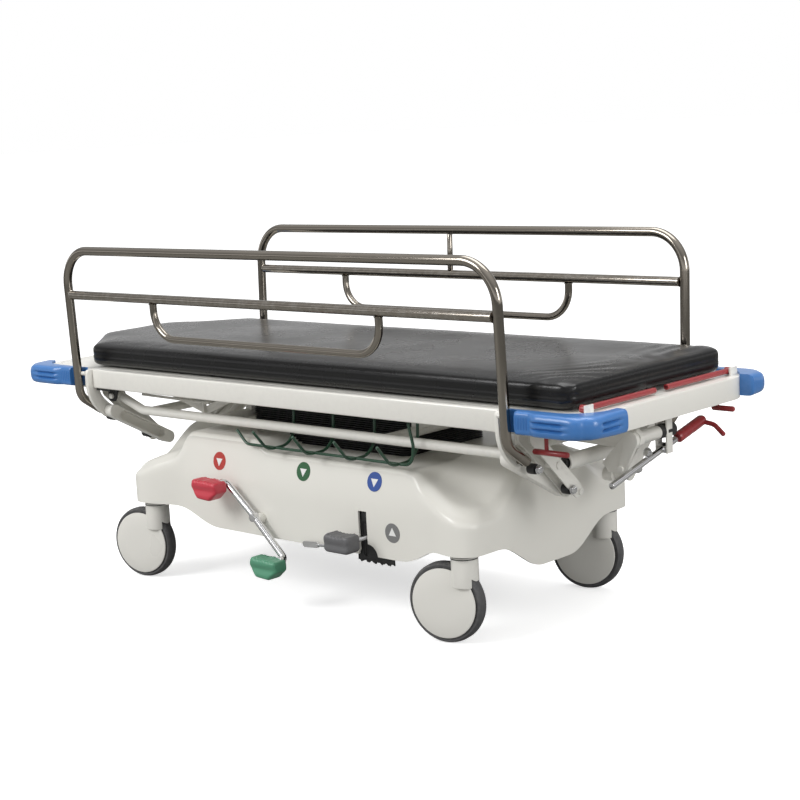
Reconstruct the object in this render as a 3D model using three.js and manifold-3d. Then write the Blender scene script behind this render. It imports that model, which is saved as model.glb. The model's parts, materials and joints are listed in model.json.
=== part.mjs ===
// Hospital stretcher trolley: a moulded base on four swivel casters, a hydraulic lift,
// a litter that tilts at its head end, and two fold-down tubular side rails.
// Millimetres. +X towards the foot end, +Y towards the far side, +Z up, floor at z = 0.
import * as THREE from 'three';
import { mergeVertices } from 'three/addons/utils/BufferGeometryUtils.js';
import Module from 'manifold-3d';

const wasm = await Module();
wasm.setup();

// ---------------------------------------------------------------- driving sizes
const GAP = 0.3; // left between pieces that touch
const RUNNING_GAP = 0.4; // round a pin that turns

const LITTER_LENGTH = 2016; // over the frame, without bumpers
const LITTER_WIDTH = 690; // over the frame, without bumpers
const LITTER_OVER_HOOD = 109; // underside of the frame over the hood at the lowest lift
const LITTER_TUBE_HEIGHT = 54;
const LITTER_TUBE_WIDTH = 30;
const LITTER_CORNER_RADIUS = 90;
const DECK_THICKNESS = 4;
const RIB_WIDTH = 30;

const MATTRESS_THICKNESS = 75;
const MATTRESS_SIDE_INSET = 15;
const MATTRESS_HEAD_INSET = 13;
const MATTRESS_FOOT_INSET = 53;
const MATTRESS_HEAD_WIDTH = 250; // of the narrow head edge
const MATTRESS_TAPER_LENGTH = 205;
const MATTRESS_CORNER_RADIUS = 40;

const BUMPER_SIDE_DEPTH = 43;
const BUMPER_END_DEPTH = 32;
const BUMPER_TAIL_DEPTH = 4.5;
const BUMPER_STEP = 12; // shallower stretch beside the rail post
const BUMPER_STEP_LENGTH = 48;
const BUMPER_HEIGHT = 54;
const BUMPER_RISE = 5.5; // above the frame's underside
const BUMPER_CORNER_RADIUS = 60;
const BUMPER_LONG_END_LEG = 156;
const BUMPER_SHORT_END_LEG = 96;

const RAIL_LENGTH = LITTER_LENGTH - 430; // between post centres
const RAIL_TUBE_RADIUS = 12.5;
const RAIL_LOOP_RADIUS = 10;
const RAIL_HEIGHT = 345; // top bar above the top of the frame
const RAIL_MID_DROP = 127; // mid bar below top bar
const RAIL_LOOP_DROP = 108; // loop bar below mid bar
const RAIL_LOOP_LENGTH = 843;
const RAIL_CORNER_RADIUS = 100;
const RAIL_LEAN = 0.034; // outward lean of the posts
const RAIL_ELBOW_DROP = 24; // corner of the bend below the frame's underside
const RAIL_ELBOW_RADIUS = 45;
const RAIL_POST_CLEARANCE = 8.5; // post to frame at the frame's underside
const RAIL_PIVOT_DROP = 73; // pivot below the frame's underside
const RAIL_PIVOT_INSET = 50; // pivot inboard of the frame's side
const RAIL_PIN_RADIUS = 8;
const LATCH_PIN_RADIUS = 6;

const BRACKET_THICKNESS = 12;
const BRACKET_TO_POST = 30; // plate centre to post centre
const CARRIER_SECTION = 36;
const CARRIER_WIDTH = 28.4;
const CARRIER_REACH = 195; // pivot to bottom bolt, across
const CARRIER_DROP = 109; // pivot to bottom bolt, down

const SUBFRAME_TUBE_RADIUS = 13;
const SUBFRAME_INSET = 83; // tube centre inboard of the litter's side
const SUBFRAME_DROP = 69; // tube centre below the litter's underside
const HINGE_DROP = 29; // tilt hinge below the litter's underside
const HINGE_PIN_RADIUS = 8;
const LIFT_PLATE_THICKNESS = 8;

const RAM_SPACING = 300;
const RAM_RADIUS = 36;
const CYLINDER_WALL = 11;
const BELLOWS_LENGTH = 580;
const BELLOWS_INSET = 185; // in from the litter's side
const BELLOWS_WALL = 12;

const WHEELBASE = 1160;
const TRACK = 572;
const WHEEL_RADIUS = 101.5;
const TYRE_WIDTH = 36;
const CASTER_TRAIL = 52;
const CASTER_STEM_RADIUS = 34;
const CASTER_CROWN = 19; // stem top over the wheel
const CASTER_COVER_RADIUS = 88;
const CASTER_COVER_HALF_WIDTH = 24;
const CASTER_HEADING = 12; // degrees, as last rolled
const SPIGOT_RADIUS = 12;
const SPIGOT_LENGTH = 66;

const HOOD_WALL = 8;
const HOOD_HEIGHT = 212; // pod lip to top
const HOOD_RECESS_DEPTH = 27;
const HOOD_SHOULDER_DROP = 56; // below the top
const HOOD_POD_DROP = 106; // below the top, at the outer ends
const HOOD_POD_RADIUS = 56;
const HOOD_LIP_CLEARANCE = 6; // pod lip over the caster stem
const HOOD_SKIRT_DROP = 49; // side skirt below the pod lip
const HOOD_END_DROP = 76; // end skirt below the pod lip

const ROCKER_LENGTH = 286;
const ROCKER_ANGLE = -41; // degrees, steer position
const PEDAL_PAD_DEPTH = 51;
const PUSH_HANDLE_RADIUS = 7;

// ---------------------------------------------------------------- derived places
const casterTop = 2 * WHEEL_RADIUS + CASTER_CROWN;
const casterReach = CASTER_TRAIL + WHEEL_RADIUS;
const podLip = casterTop + HOOD_LIP_CLEARANCE;
const hoodTop = podLip + HOOD_HEIGHT;
const recessTop = hoodTop - HOOD_RECESS_DEPTH;
const hoodShoulder = hoodTop - HOOD_SHOULDER_DROP;
const podTop = hoodTop - HOOD_POD_DROP;
const hoodSkirt = podLip - HOOD_SKIRT_DROP;
const endLip = podLip - HOOD_END_DROP;
const litterBottom = hoodTop + LITTER_OVER_HOOD;
const ramBottom = casterTop - 52;
const litterHalf = LITTER_LENGTH / 2;
const litterSide = LITTER_WIDTH / 2;
const bellowsSide = litterSide - BELLOWS_INSET;
const litterTop = litterBottom + LITTER_TUBE_HEIGHT;
const innerSide = litterSide - LITTER_TUBE_WIDTH;
const innerEnd = litterHalf - LITTER_TUBE_WIDTH;
const railHalf = RAIL_LENGTH / 2;
const bracketX = railHalf - BRACKET_TO_POST;
const bracketInner = bracketX - BRACKET_THICKNESS / 2;
const bracketOuter = bracketX + BRACKET_THICKNESS / 2;
const pivotY = litterSide - RAIL_PIVOT_INSET;
const pivotZ = litterBottom - RAIL_PIVOT_DROP;
const postY = (z) => litterSide + RAIL_POST_CLEARANCE + RAIL_TUBE_RADIUS + (z - litterBottom) * RAIL_LEAN;
const railTopZ = litterTop + RAIL_HEIGHT;
const railMidZ = railTopZ - RAIL_MID_DROP;
const railLoopZ = railMidZ - RAIL_LOOP_DROP;
const subframeY = litterSide - SUBFRAME_INSET;
const subframeZ = litterBottom - SUBFRAME_DROP;
const hinge = { x: -(bracketX - 28), z: litterBottom - HINGE_DROP };
const stemX = WHEELBASE / 2;
const stemY = TRACK / 2;
const hoodHalf = stemX + 60;
const hoodSide = stemY + 16;
const blockHalf = stemX + 42;
const blockSide = stemY + 2;
const platformBottom = subframeZ + SUBFRAME_TUBE_RADIUS + 24;

// ---------------------------------------------------------------- materials
const paint = (color, roughness = 0.5, metalness = 0) =>
  new THREE.MeshStandardMaterial({ color, roughness, metalness });
const offWhite = paint(0xdcd9cf, 0.4);
const moulding = paint(0xe4e1d6, 0.45);
const stainless = paint(0x9a938a, 0.25, 1);
const chrome = paint(0xc4c4c6, 0.12, 1);
const bumperBlue = paint(0x2f6fc4, 0.4);
const vinyl = paint(0x17171a, 0.35);
const tyreGrey = paint(0x4a4b4d, 0.75);
const blackRubber = paint(0x141414, 0.7);
const brakeRed = paint(0xc03038, 0.4);
const steerGreen = paint(0x4f9a72, 0.4);
const pedalGrey = paint(0x68686b, 0.5);
const handleRed = paint(0x8a2426, 0.4);
const wireGreen = paint(0x16402f, 0.4);
const steel = paint(0x8c8c8c, 0.4, 1);

// ---------------------------------------------------------------- shape helpers
const trolley = new THREE.Group();

function add(name, geometry, material, parent = trolley) {
  geometry.computeVertexNormals();
  const mesh = new THREE.Mesh(geometry, material);
  mesh.name = name;
  parent.add(mesh);
  return mesh;
}

const at = (x, y, z) => new THREE.Vector3(x, y, z);

// A path that is straight between round bends, with stations only where it needs them.
class BentPath extends THREE.Curve {
  constructor(corners, radius, steps = 4) {
    super();
    const first = corners[1].clone().sub(corners[0]).normalize();
    this.stations = [{ point: corners[0], tangent: first }];
    for (let i = 1; i < corners.length - 1; i += 1) {
      const into = corners[i].clone().sub(corners[i - 1]).normalize();
      const away = corners[i + 1].clone().sub(corners[i]).normalize();
      const turn = into.angleTo(away);
      const bend = Array.isArray(radius) ? radius[i - 1] : radius;
      const start = corners[i].clone().addScaledVector(into, -bend * Math.tan(turn / 2));
      const inward = away.clone().addScaledVector(into, -Math.cos(turn)).normalize();
      for (let k = 0; k <= steps; k += 1) {
        const angle = (turn * k) / steps;
        const point = start.clone().addScaledVector(into, bend * Math.sin(angle));
        point.addScaledVector(inward, bend * (1 - Math.cos(angle)));
        const tangent = into.clone().multiplyScalar(Math.cos(angle)).addScaledVector(inward, Math.sin(angle));
        this.stations.push({ point, tangent });
      }
    }
    const last = corners.at(-1).clone().sub(corners.at(-2)).normalize();
    this.stations.push({ point: corners.at(-1), tangent: last });
  }

  getPoint(t) {
    const place = t * (this.stations.length - 1);
    const low = Math.min(Math.floor(place), this.stations.length - 2);
    return this.stations[low].point.clone().lerp(this.stations[low + 1].point, place - low);
  }

  getTangent(t) {
    const place = t * (this.stations.length - 1);
    const low = Math.min(Math.floor(place), this.stations.length - 2);
    return this.stations[low].tangent.clone().lerp(this.stations[low + 1].tangent, place - low).normalize();
  }

  // Stations stay where they are, however far apart they lie.
  getUtoTmapping(u) {
    return u;
  }
}

function bentTube(corners, tubeRadius, bendRadius, sides = 12) {
  const path = new BentPath(corners, bendRadius);
  const section = new THREE.Shape().absarc(0, 0, tubeRadius, 0, 2 * Math.PI);
  return new THREE.ExtrudeGeometry(section, {
    steps: path.stations.length - 1,
    extrudePath: path,
    curveSegments: sides / 2,
  });
}

function rod(from, to, radius, sides = 12) {
  const along = to.clone().sub(from);
  const geometry = new THREE.CylinderGeometry(radius, radius, along.length(), sides);
  const turn = new THREE.Quaternion().setFromUnitVectors(at(0, 1, 0), along.clone().normalize());
  geometry.applyQuaternion(turn);
  geometry.translate(...from.clone().add(to).multiplyScalar(0.5).toArray());
  return geometry;
}

function box(x0, x1, y0, y1, z0, z1) {
  const geometry = new THREE.BoxGeometry(Math.abs(x1 - x0), Math.abs(y1 - y0), Math.abs(z1 - z0));
  geometry.translate((x0 + x1) / 2, (y0 + y1) / 2, (z0 + z1) / 2);
  return geometry;
}

function prism(shape, depth, basis, curveSegments, bevel = 0) {
  const geometry = new THREE.ExtrudeGeometry(shape, {
    depth: depth - 2 * bevel,
    bevelEnabled: bevel > 0,
    bevelSize: bevel,
    bevelOffset: -bevel,
    bevelThickness: bevel,
    bevelSegments: 2,
    curveSegments,
  });
  geometry.translate(0, 0, bevel);
  geometry.applyMatrix4(basis);
  return geometry;
}

// Outline drawn in (x, y), thick from z0 to z1.
function plateXY(shape, z0, z1, curveSegments = 8, bevel = 0) {
  return prism(shape, z1 - z0, new THREE.Matrix4().makeTranslation(0, 0, z0), curveSegments, bevel);
}

// Outline drawn in (y, z), thick from x0 to x1.
function plateYZ(shape, x0, x1, curveSegments = 8, bevel = 0) {
  const basis = new THREE.Matrix4().makeBasis(at(0, 1, 0), at(0, 0, 1), at(1, 0, 0));
  basis.setPosition(x0, 0, 0);
  return prism(shape, x1 - x0, basis, curveSegments, bevel);
}

// Outline drawn in (x, z), thick from y0 to y1.
function plateXZ(shape, y0, y1, curveSegments = 8, bevel = 0) {
  const basis = new THREE.Matrix4().makeBasis(at(1, 0, 0), at(0, 0, 1), at(0, -1, 0));
  basis.setPosition(0, y1, 0);
  return prism(shape, y1 - y0, basis, curveSegments, bevel);
}

function polygon(points) {
  return new THREE.Shape(points.map(([u, v]) => new THREE.Vector2(u, v)));
}

function roundedBoxShape(halfU, halfV, radius) {
  const shape = new THREE.Shape();
  shape.moveTo(halfU, -halfV + radius);
  shape.absarc(halfU - radius, halfV - radius, radius, 0, Math.PI / 2);
  shape.absarc(-halfU + radius, halfV - radius, radius, Math.PI / 2, Math.PI);
  shape.absarc(-halfU + radius, -halfV + radius, radius, Math.PI, 1.5 * Math.PI);
  shape.absarc(halfU - radius, -halfV + radius, radius, 1.5 * Math.PI, 2 * Math.PI);
  return shape;
}

// A bar with round ends between two places, drawn in a plane.
function linkShape(u0, v0, u1, v1, radius) {
  const angle = Math.atan2(v1 - v0, u1 - u0);
  const shape = new THREE.Shape();
  shape.absarc(u1, v1, radius, angle - Math.PI / 2, angle + Math.PI / 2);
  shape.absarc(u0, v0, radius, angle + Math.PI / 2, angle + 1.5 * Math.PI);
  return shape;
}

function toSolid(geometry) {
  const bare = geometry.clone();
  bare.deleteAttribute('normal');
  bare.deleteAttribute('uv');
  const merged = mergeVertices(bare, 1e-3);
  const vertProperties = Float32Array.from(merged.attributes.position.array);
  const triVerts = Uint32Array.from(merged.index.array);
  return new wasm.Manifold(new wasm.Mesh({ numProp: 3, vertProperties, triVerts }));
}

function toGeometry(solid) {
  const mesh = solid.getMesh();
  const geometry = new THREE.BufferGeometry();
  geometry.setAttribute('position', new THREE.BufferAttribute(mesh.vertProperties, 3));
  geometry.setIndex(new THREE.BufferAttribute(mesh.triVerts, 1));
  return geometry;
}

const join = (...geometries) => geometries.map(toSolid).reduce((sum, piece) => sum.add(piece));
const cut = (solid, ...geometries) => geometries.map(toSolid).reduce((rest, piece) => rest.subtract(piece), solid);
const mirroredY = (geometry, side) => (side < 0 ? geometry : toGeometry(toSolid(geometry).mirror([0, 1, 0])));

const sides = [
  { name: 'near', sign: -1 },
  { name: 'far', sign: 1 },
];
const ends = [
  { name: 'head', sign: -1 },
  { name: 'foot', sign: 1 },
];
const corners = ends.flatMap((end) => sides.map((side) => ({ end, side, name: `${end.name}_${side.name}` })));

// ---------------------------------------------------------------- base hood
function podOutline(radius) {
  return corners.map(({ end, side }) => {
    const shape = new THREE.Shape();
    shape.absarc(end.sign * stemX, side.sign * stemY, radius, 0, 2 * Math.PI);
    return shape;
  });
}

// The space below one corner pod, where the caster swings.
function cornerWell(end, side) {
  const skirtStart = end.sign < 0 ? stemX - casterReach - 126 : stemX - casterReach - 36;
  const podEdge = end.sign < 0 ? stemX - HOOD_POD_RADIUS - 49 : stemX - HOOD_POD_RADIUS + 6;
  const along = new THREE.Shape();
  along.moveTo(skirtStart, 0);
  along.lineTo(skirtStart, hoodSkirt);
  along.bezierCurveTo(skirtStart + 60, hoodSkirt, podEdge - 60, podLip, podEdge, podLip);
  along.lineTo(hoodHalf + 100, podLip);
  along.lineTo(hoodHalf + 100, 0);
  const across = new THREE.Shape();
  across.moveTo(70, 0);
  across.lineTo(70, endLip);
  across.bezierCurveTo(130, endLip, 150, podLip, 250, podLip);
  across.lineTo(hoodSide + 100, podLip);
  across.lineTo(hoodSide + 100, 0);
  let well = toSolid(plateXZ(along, 0, hoodSide + 90));
  well = well.intersect(toSolid(plateYZ(across, 0, hoodHalf + 90)));
  if (end.sign < 0) well = well.mirror([1, 0, 0]);
  if (side.sign < 0) well = well.mirror([0, 1, 0]);
  return well;
}

const slot = { x: 257, width: 30, top: podLip + 68 };
const recess = { from: -125, to: 440 };

function baseHood() {
  const lowerTop = polygon([
    [-hoodHalf - 40, 0],
    [hoodHalf + 40, 0],
    [hoodHalf + 40, podTop - 8],
    [stemX - 80, hoodShoulder],
    [-stemX + 80, hoodShoulder],
    [-hoodHalf - 40, podTop - 8],
  ]);
  let lower = toSolid(plateXY(roundedBoxShape(hoodHalf, hoodSide, 60), endLip, hoodShoulder + 16));
  for (const pod of podOutline(HOOD_POD_RADIUS)) {
    lower = lower.add(toSolid(plateXY(pod, endLip, hoodShoulder + 16, 10)));
  }
  lower = lower.intersect(toSolid(plateXZ(lowerTop, -500, 500)));
  const block = roundedBoxShape(blockHalf, blockSide, blockSide - 1);
  let hood = lower.add(toSolid(plateXY(block, podTop - 54, hoodTop, 12, 10)));

  const floor = -10;
  hood = cut(
    hood,
    box(-hoodHalf + HOOD_WALL, hoodHalf - HOOD_WALL, -hoodSide + HOOD_WALL, hoodSide - HOOD_WALL, floor, podTop - 14),
    box(-stemX + 100, stemX - 100, -hoodSide + HOOD_WALL, hoodSide - HOOD_WALL, floor, hoodShoulder - 14),
    plateXY(
      roundedBoxShape(blockHalf - HOOD_WALL, blockSide - HOOD_WALL, blockSide - HOOD_WALL - 1),
      floor,
      recessTop - HOOD_WALL,
      12,
    ),
    ...podOutline(HOOD_POD_RADIUS - HOOD_WALL).map((pod) => plateXY(pod, floor, podTop - 14, 10)),
    box(-hoodHalf + 40, hoodHalf - 40, -500, 500, floor, hoodSkirt),
    box(recess.from, recess.to, -500, 500, recessTop, hoodTop + 60),
    box(-BELLOWS_LENGTH / 2 - 4, BELLOWS_LENGTH / 2 + 4, -bellowsSide - 4, bellowsSide + 4, recessTop, hoodTop + 60),
    box(-BELLOWS_LENGTH / 2 + 35, BELLOWS_LENGTH / 2 - 35, -bellowsSide + 35, bellowsSide - 35, recessTop - 23, hoodTop + 60),
  );
  for (const { end, side } of corners) {
    hood = hood.subtract(cornerWell(end, side));
  }
  const slotShape = new THREE.Shape();
  slotShape.moveTo(slot.x + slot.width / 2, 0);
  slotShape.lineTo(slot.x + slot.width / 2, slot.top - slot.width / 2);
  slotShape.absarc(slot.x, slot.top - slot.width / 2, slot.width / 2, 0, Math.PI);
  slotShape.lineTo(slot.x - slot.width / 2, 0);
  hood = cut(hood, plateXZ(slotShape, -hoodSide - 20, -hoodSide + HOOD_WALL + 20));
  return toGeometry(hood);
}
add('base_hood', baseHood(), moulding);

// ---------------------------------------------------------------- chassis
const beamZ = { low: podLip + 34, high: podLip + 74 };
const trayZ = { low: podLip - 78, high: podLip - 66 };
const beamY = 150;
const pedalHub = { x: slot.x, y: -(beamY + 20), z: podLip - 2 };

function chassis() {
  const socketBottom = casterTop + 10;
  const socketTop = casterTop + SPIGOT_LENGTH + 17;
  const pieces = [];
  for (const { sign } of sides) {
    const inner = sign * (beamY - 15);
    pieces.push(box(-stemX + 2, stemX - 2, inner, sign * (beamY + 15), beamZ.low, beamZ.high));
    pieces.push(box(-210, 210, inner, sign * beamY, trayZ.low, beamZ.high));
  }
  for (const { sign } of ends) {
    pieces.push(box(sign * (stemX - 14), sign * (stemX + 10), -stemY, stemY, beamZ.low, beamZ.high));
  }
  for (const { end, side } of corners) {
    const x = end.sign * stemX;
    const y = side.sign * stemY;
    pieces.push(rod(at(x, y, socketBottom), at(x, y, socketTop), 30, 20));
  }
  pieces.push(box(-230, 230, -beamY, beamY, trayZ.low, trayZ.high));
  for (const { sign } of ends) {
    const x = (sign * RAM_SPACING) / 2;
    const top = recessTop - HOOD_WALL - 4;
    pieces.push(rod(at(x, 0, trayZ.low), at(x, 0, top), RAM_RADIUS + CYLINDER_WALL, 24));
  }
  for (const sign of [-1, 1]) {
    const x = pedalHub.x + sign * 18;
    pieces.push(box(x - 3, x + 3, pedalHub.y - 12, pedalHub.y + 12, pedalHub.z - 12, beamZ.low + 6));
  }
  pieces.push(rod(at(pedalHub.x - 20, pedalHub.y, pedalHub.z), at(pedalHub.x + 20, pedalHub.y, pedalHub.z), 6));
  const bores = corners.map(({ end, side }) => {
    const x = end.sign * stemX;
    const y = side.sign * stemY;
    const top = casterTop + SPIGOT_LENGTH + 4;
    return rod(at(x, y, socketBottom - 5), at(x, y, top), SPIGOT_RADIUS + RUNNING_GAP, 20);
  });
  const ramBores = ends.map(({ sign }) => {
    const x = (sign * RAM_SPACING) / 2;
    return rod(at(x, 0, ramBottom - 4), at(x, 0, recessTop), RAM_RADIUS + 1, 24);
  });
  return toGeometry(cut(join(...pieces), ...bores, ...ramBores));
}
add('chassis_frame', chassis(), steel);

// Black guard behind the pedal slot; it also closes the foot of the slot.
function pedalGuard() {
  const left = slot.x - slot.width / 2 - 8;
  const outline = polygon([
    [left, slot.top - 6],
    [left, podLip - 62],
    [slot.x + 96, podLip - 62],
    [slot.x + 96, podLip - 50],
    [slot.x + 40, podLip - 32],
    [slot.x + 26, podLip - 12],
    [slot.x + 23, slot.top - 6],
  ]);
  const armSlot = new THREE.Path();
  armSlot.absarc(slot.x, pedalHub.z + 32, 9, 0, Math.PI);
  armSlot.absarc(slot.x, pedalHub.z - 40, 9, Math.PI, 2 * Math.PI);
  outline.holes.push(armSlot);
  const back = -hoodSide + HOOD_WALL + GAP;
  return plateXZ(outline, back, back + 4);
}
add('pedal_guard', pedalGuard(), blackRubber);

// ---------------------------------------------------------------- brake and steer rocker
const rockerPivot = at(-118, 0, podLip + 5);
const rockerY = -hoodSide - 27;
add(
  'rocker_boss',
  rod(at(rockerPivot.x, -hoodSide - GAP, rockerPivot.z), at(rockerPivot.x, rockerY + 6 + GAP, rockerPivot.z), 15, 24),
  moulding,
);

function rockerEnd(sign) {
  const angle = THREE.MathUtils.degToRad(ROCKER_ANGLE);
  const reach = (sign * ROCKER_LENGTH) / 2;
  return at(rockerPivot.x + reach * Math.cos(angle), rockerY, rockerPivot.z + reach * Math.sin(angle));
}

function rockerBar() {
  const high = rockerEnd(-1);
  const low = rockerEnd(1);
  const bow = 14;
  const middle = high.clone().add(low).multiplyScalar(0.5);
  const curve = new THREE.QuadraticBezierCurve(
    new THREE.Vector2(high.x, high.z),
    new THREE.Vector2(middle.x + bow, middle.z + bow),
    new THREE.Vector2(low.x, low.z),
  );
  const rows = curve.getPoints(10).map((point, i) => {
    const tangent = curve.getTangent(i / 10);
    return { point, normal: new THREE.Vector2(-tangent.y, tangent.x).multiplyScalar(12) };
  });
  const outline = new THREE.Shape([
    ...rows.map(({ point, normal }) => point.clone().add(normal)),
    ...rows.reverse().map(({ point, normal }) => point.clone().sub(normal)),
  ]);
  const shafts = [high, low].map((place) => rod(place.clone().setY(rockerY + 8), place.clone().setY(rockerY - 10), 11, 20));
  const hub = rod(at(rockerPivot.x, rockerY + 6, rockerPivot.z), at(rockerPivot.x, rockerY - 9, rockerPivot.z), 12, 20);
  return toGeometry(join(plateXZ(outline, rockerY - 6, rockerY + 6), ...shafts, hub));
}
add('rocker_bar', rockerBar(), chrome);

function padShape(x, z) {
  return polygon([
    [x - 52, z + 2],
    [x - 42, z + 27],
    [x + 6, z + 33],
    [x + 48, z + 20],
    [x + 50, z - 6],
    [x + 22, z - 30],
    [x - 26, z - 27],
  ]);
}
const padFront = rockerY - 10 - GAP;
for (const [name, end, material, lean] of [
  ['brake_pad', rockerEnd(-1), brakeRed, 1],
  ['steer_pad', rockerEnd(1), steerGreen, 1],
]) {
  const centre = [end.x - 30 * lean, end.z - 16];
  add(name, plateXZ(padShape(...centre), padFront - PEDAL_PAD_DEPTH, padFront, 8, 6), material);
}

// ---------------------------------------------------------------- lift pedal
function pumpArm() {
  const hub = rod(at(slot.x - 14, pedalHub.y, pedalHub.z), at(slot.x + 14, pedalHub.y, pedalHub.z), 13, 20);
  const arm = rod(at(slot.x, pedalHub.y, pedalHub.z), at(slot.x, padFront + GAP, pedalHub.z), 6, 16);
  const stubY = -hoodSide - 16;
  const lever = bentTube(
    [at(slot.x, stubY, pedalHub.z), at(slot.x - 28, stubY, pedalHub.z - 26), at(slot.x - 150, stubY, pedalHub.z - 34)],
    4.5,
    22,
    8,
  );
  const paddle = linkShape(slot.x - 196, pedalHub.z - 37, slot.x - 154, pedalHub.z - 34, 8);
  const bore = rod(at(slot.x - 20, pedalHub.y, pedalHub.z), at(slot.x + 20, pedalHub.y, pedalHub.z), 6 + RUNNING_GAP);
  return toGeometry(cut(join(hub, arm, lever, plateXZ(paddle, stubY - 4, stubY + 4)), bore));
}
add('pump_arm', pumpArm(), chrome);
const pumpPadOutline = roundedBoxShape(44, 24, 12);
const pumpPad = plateXZ(pumpPadOutline, padFront - PEDAL_PAD_DEPTH, padFront, 4, 6);
pumpPad.translate(slot.x - 16, 0, pedalHub.z);
add('pump_pad', pumpPad, pedalGrey);

// ---------------------------------------------------------------- casters
function casterHousing() {
  const axle = at(-CASTER_TRAIL, 0, WHEEL_RADIUS);
  const disc = (radius, half, centre = axle) =>
    rod(centre.clone().setY(-half), centre.clone().setY(half), radius, 32);
  const lip = WHEEL_RADIUS + 44.5;
  const band = join(rod(at(0, 0, 0), at(0, 0, lip + 10), CASTER_STEM_RADIUS, 20));
  const bandClip = toSolid(disc(CASTER_COVER_RADIUS, CASTER_STEM_RADIUS + 5));
  let housing = join(
    disc(CASTER_COVER_RADIUS, CASTER_COVER_HALF_WIDTH),
    rod(at(0, 0, lip), at(0, 0, casterTop), CASTER_STEM_RADIUS, 20),
  ).add(band.intersect(bandClip));
  housing = cut(housing, disc(WHEEL_RADIUS + 2.5, TYRE_WIDTH / 2 + 2));
  const axlePin = rod(axle.clone().setY(-CASTER_COVER_HALF_WIDTH + 2), axle.clone().setY(CASTER_COVER_HALF_WIDTH - 2), 8, 20);
  const spigot = rod(at(0, 0, casterTop - 4), at(0, 0, casterTop + SPIGOT_LENGTH), SPIGOT_RADIUS, 20);
  return toGeometry(housing.add(toSolid(axlePin)).add(toSolid(spigot)));
}

function casterWheel() {
  const half = TYRE_WIDTH / 2;
  const bore = 8 + RUNNING_GAP;
  const profile = [
    [bore, -half],
    [WHEEL_RADIUS - 6, -half],
    [WHEEL_RADIUS, -half + 9],
    [WHEEL_RADIUS, half - 9],
    [WHEEL_RADIUS - 6, half],
    [bore, half],
    [bore, -half],
  ];
  const wheel = new THREE.LatheGeometry(profile.map(([r, y]) => new THREE.Vector2(r, y)), 36);
  wheel.translate(-CASTER_TRAIL, 0, WHEEL_RADIUS);
  return wheel;
}

for (const { end, side, name } of corners) {
  const caster = new THREE.Group();
  caster.position.set(end.sign * stemX, side.sign * stemY, 0);
  caster.rotation.z = THREE.MathUtils.degToRad(CASTER_HEADING);
  add(`caster_housing_${name}`, casterHousing(), moulding, caster);
  add(`caster_wheel_${name}`, casterWheel(), tyreGrey, caster);
  trolley.add(caster);
}

// ---------------------------------------------------------------- lift
const platformTop = platformBottom + LIFT_PLATE_THICKNESS;
for (const { name, sign } of ends) {
  const x = (sign * RAM_SPACING) / 2;
  const ram = join(
    rod(at(x, 0, ramBottom), at(x, 0, platformBottom - GAP), RAM_RADIUS, 24),
    rod(at(x, 0, platformBottom - 12), at(x, 0, platformBottom - GAP), RAM_RADIUS + 12, 24),
  );
  add(`lift_ram_${name}`, toGeometry(ram), chrome);
}

const bellowsBottom = recessTop + GAP;
const bellowsOuter = box(-BELLOWS_LENGTH / 2, BELLOWS_LENGTH / 2, -bellowsSide, bellowsSide, bellowsBottom, platformBottom - GAP);
const bellowsInner = box(
  -BELLOWS_LENGTH / 2 + BELLOWS_WALL,
  BELLOWS_LENGTH / 2 - BELLOWS_WALL,
  -bellowsSide + BELLOWS_WALL,
  bellowsSide - BELLOWS_WALL,
  bellowsBottom - 10,
  platformBottom + 10,
);
add('lift_bellows', toGeometry(cut(toSolid(bellowsOuter), bellowsInner)), blackRubber);

const subframeFoot = railHalf - 78;
const crossTubes = [hinge.x + 135, -BELLOWS_LENGTH / 2 - 24, BELLOWS_LENGTH / 2 + 24, subframeFoot - 15];
const restY = subframeY - 62;

function subframe() {
  const pieces = [];
  for (const { sign } of sides) {
    const y = sign * subframeY;
    const path = [
      at(hinge.x - 12, y, hinge.z - 2),
      at(hinge.x + 95, y, subframeZ),
      at(subframeFoot, y, subframeZ),
    ];
    pieces.push(bentTube(path, SUBFRAME_TUBE_RADIUS, 60, 12));
    pieces.push(rod(at(hinge.x, y - sign * 10, hinge.z), at(hinge.x, sign * (subframeY + 41), hinge.z), HINGE_PIN_RADIUS));
  }
  for (const x of crossTubes) {
    pieces.push(rod(at(x, -subframeY, subframeZ), at(x, subframeY, subframeZ), SUBFRAME_TUBE_RADIUS));
  }
  const plateHalf = BELLOWS_LENGTH / 2 + 40;
  pieces.push(box(-plateHalf, plateHalf, -bellowsSide - 20, bellowsSide + 20, platformBottom, platformTop));
  for (const x of crossTubes.slice(1, 3)) {
    pieces.push(box(x - 12, x + 12, -bellowsSide + 10, bellowsSide - 10, subframeZ + 8, platformBottom + 2));
  }
  for (const { sign } of sides) {
    const x = crossTubes[3];
    pieces.push(rod(at(x, sign * restY, subframeZ), at(x, sign * restY, litterBottom - GAP), 14));
  }
  return toGeometry(join(...pieces));
}
add('subframe', subframe(), offWhite);

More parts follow.
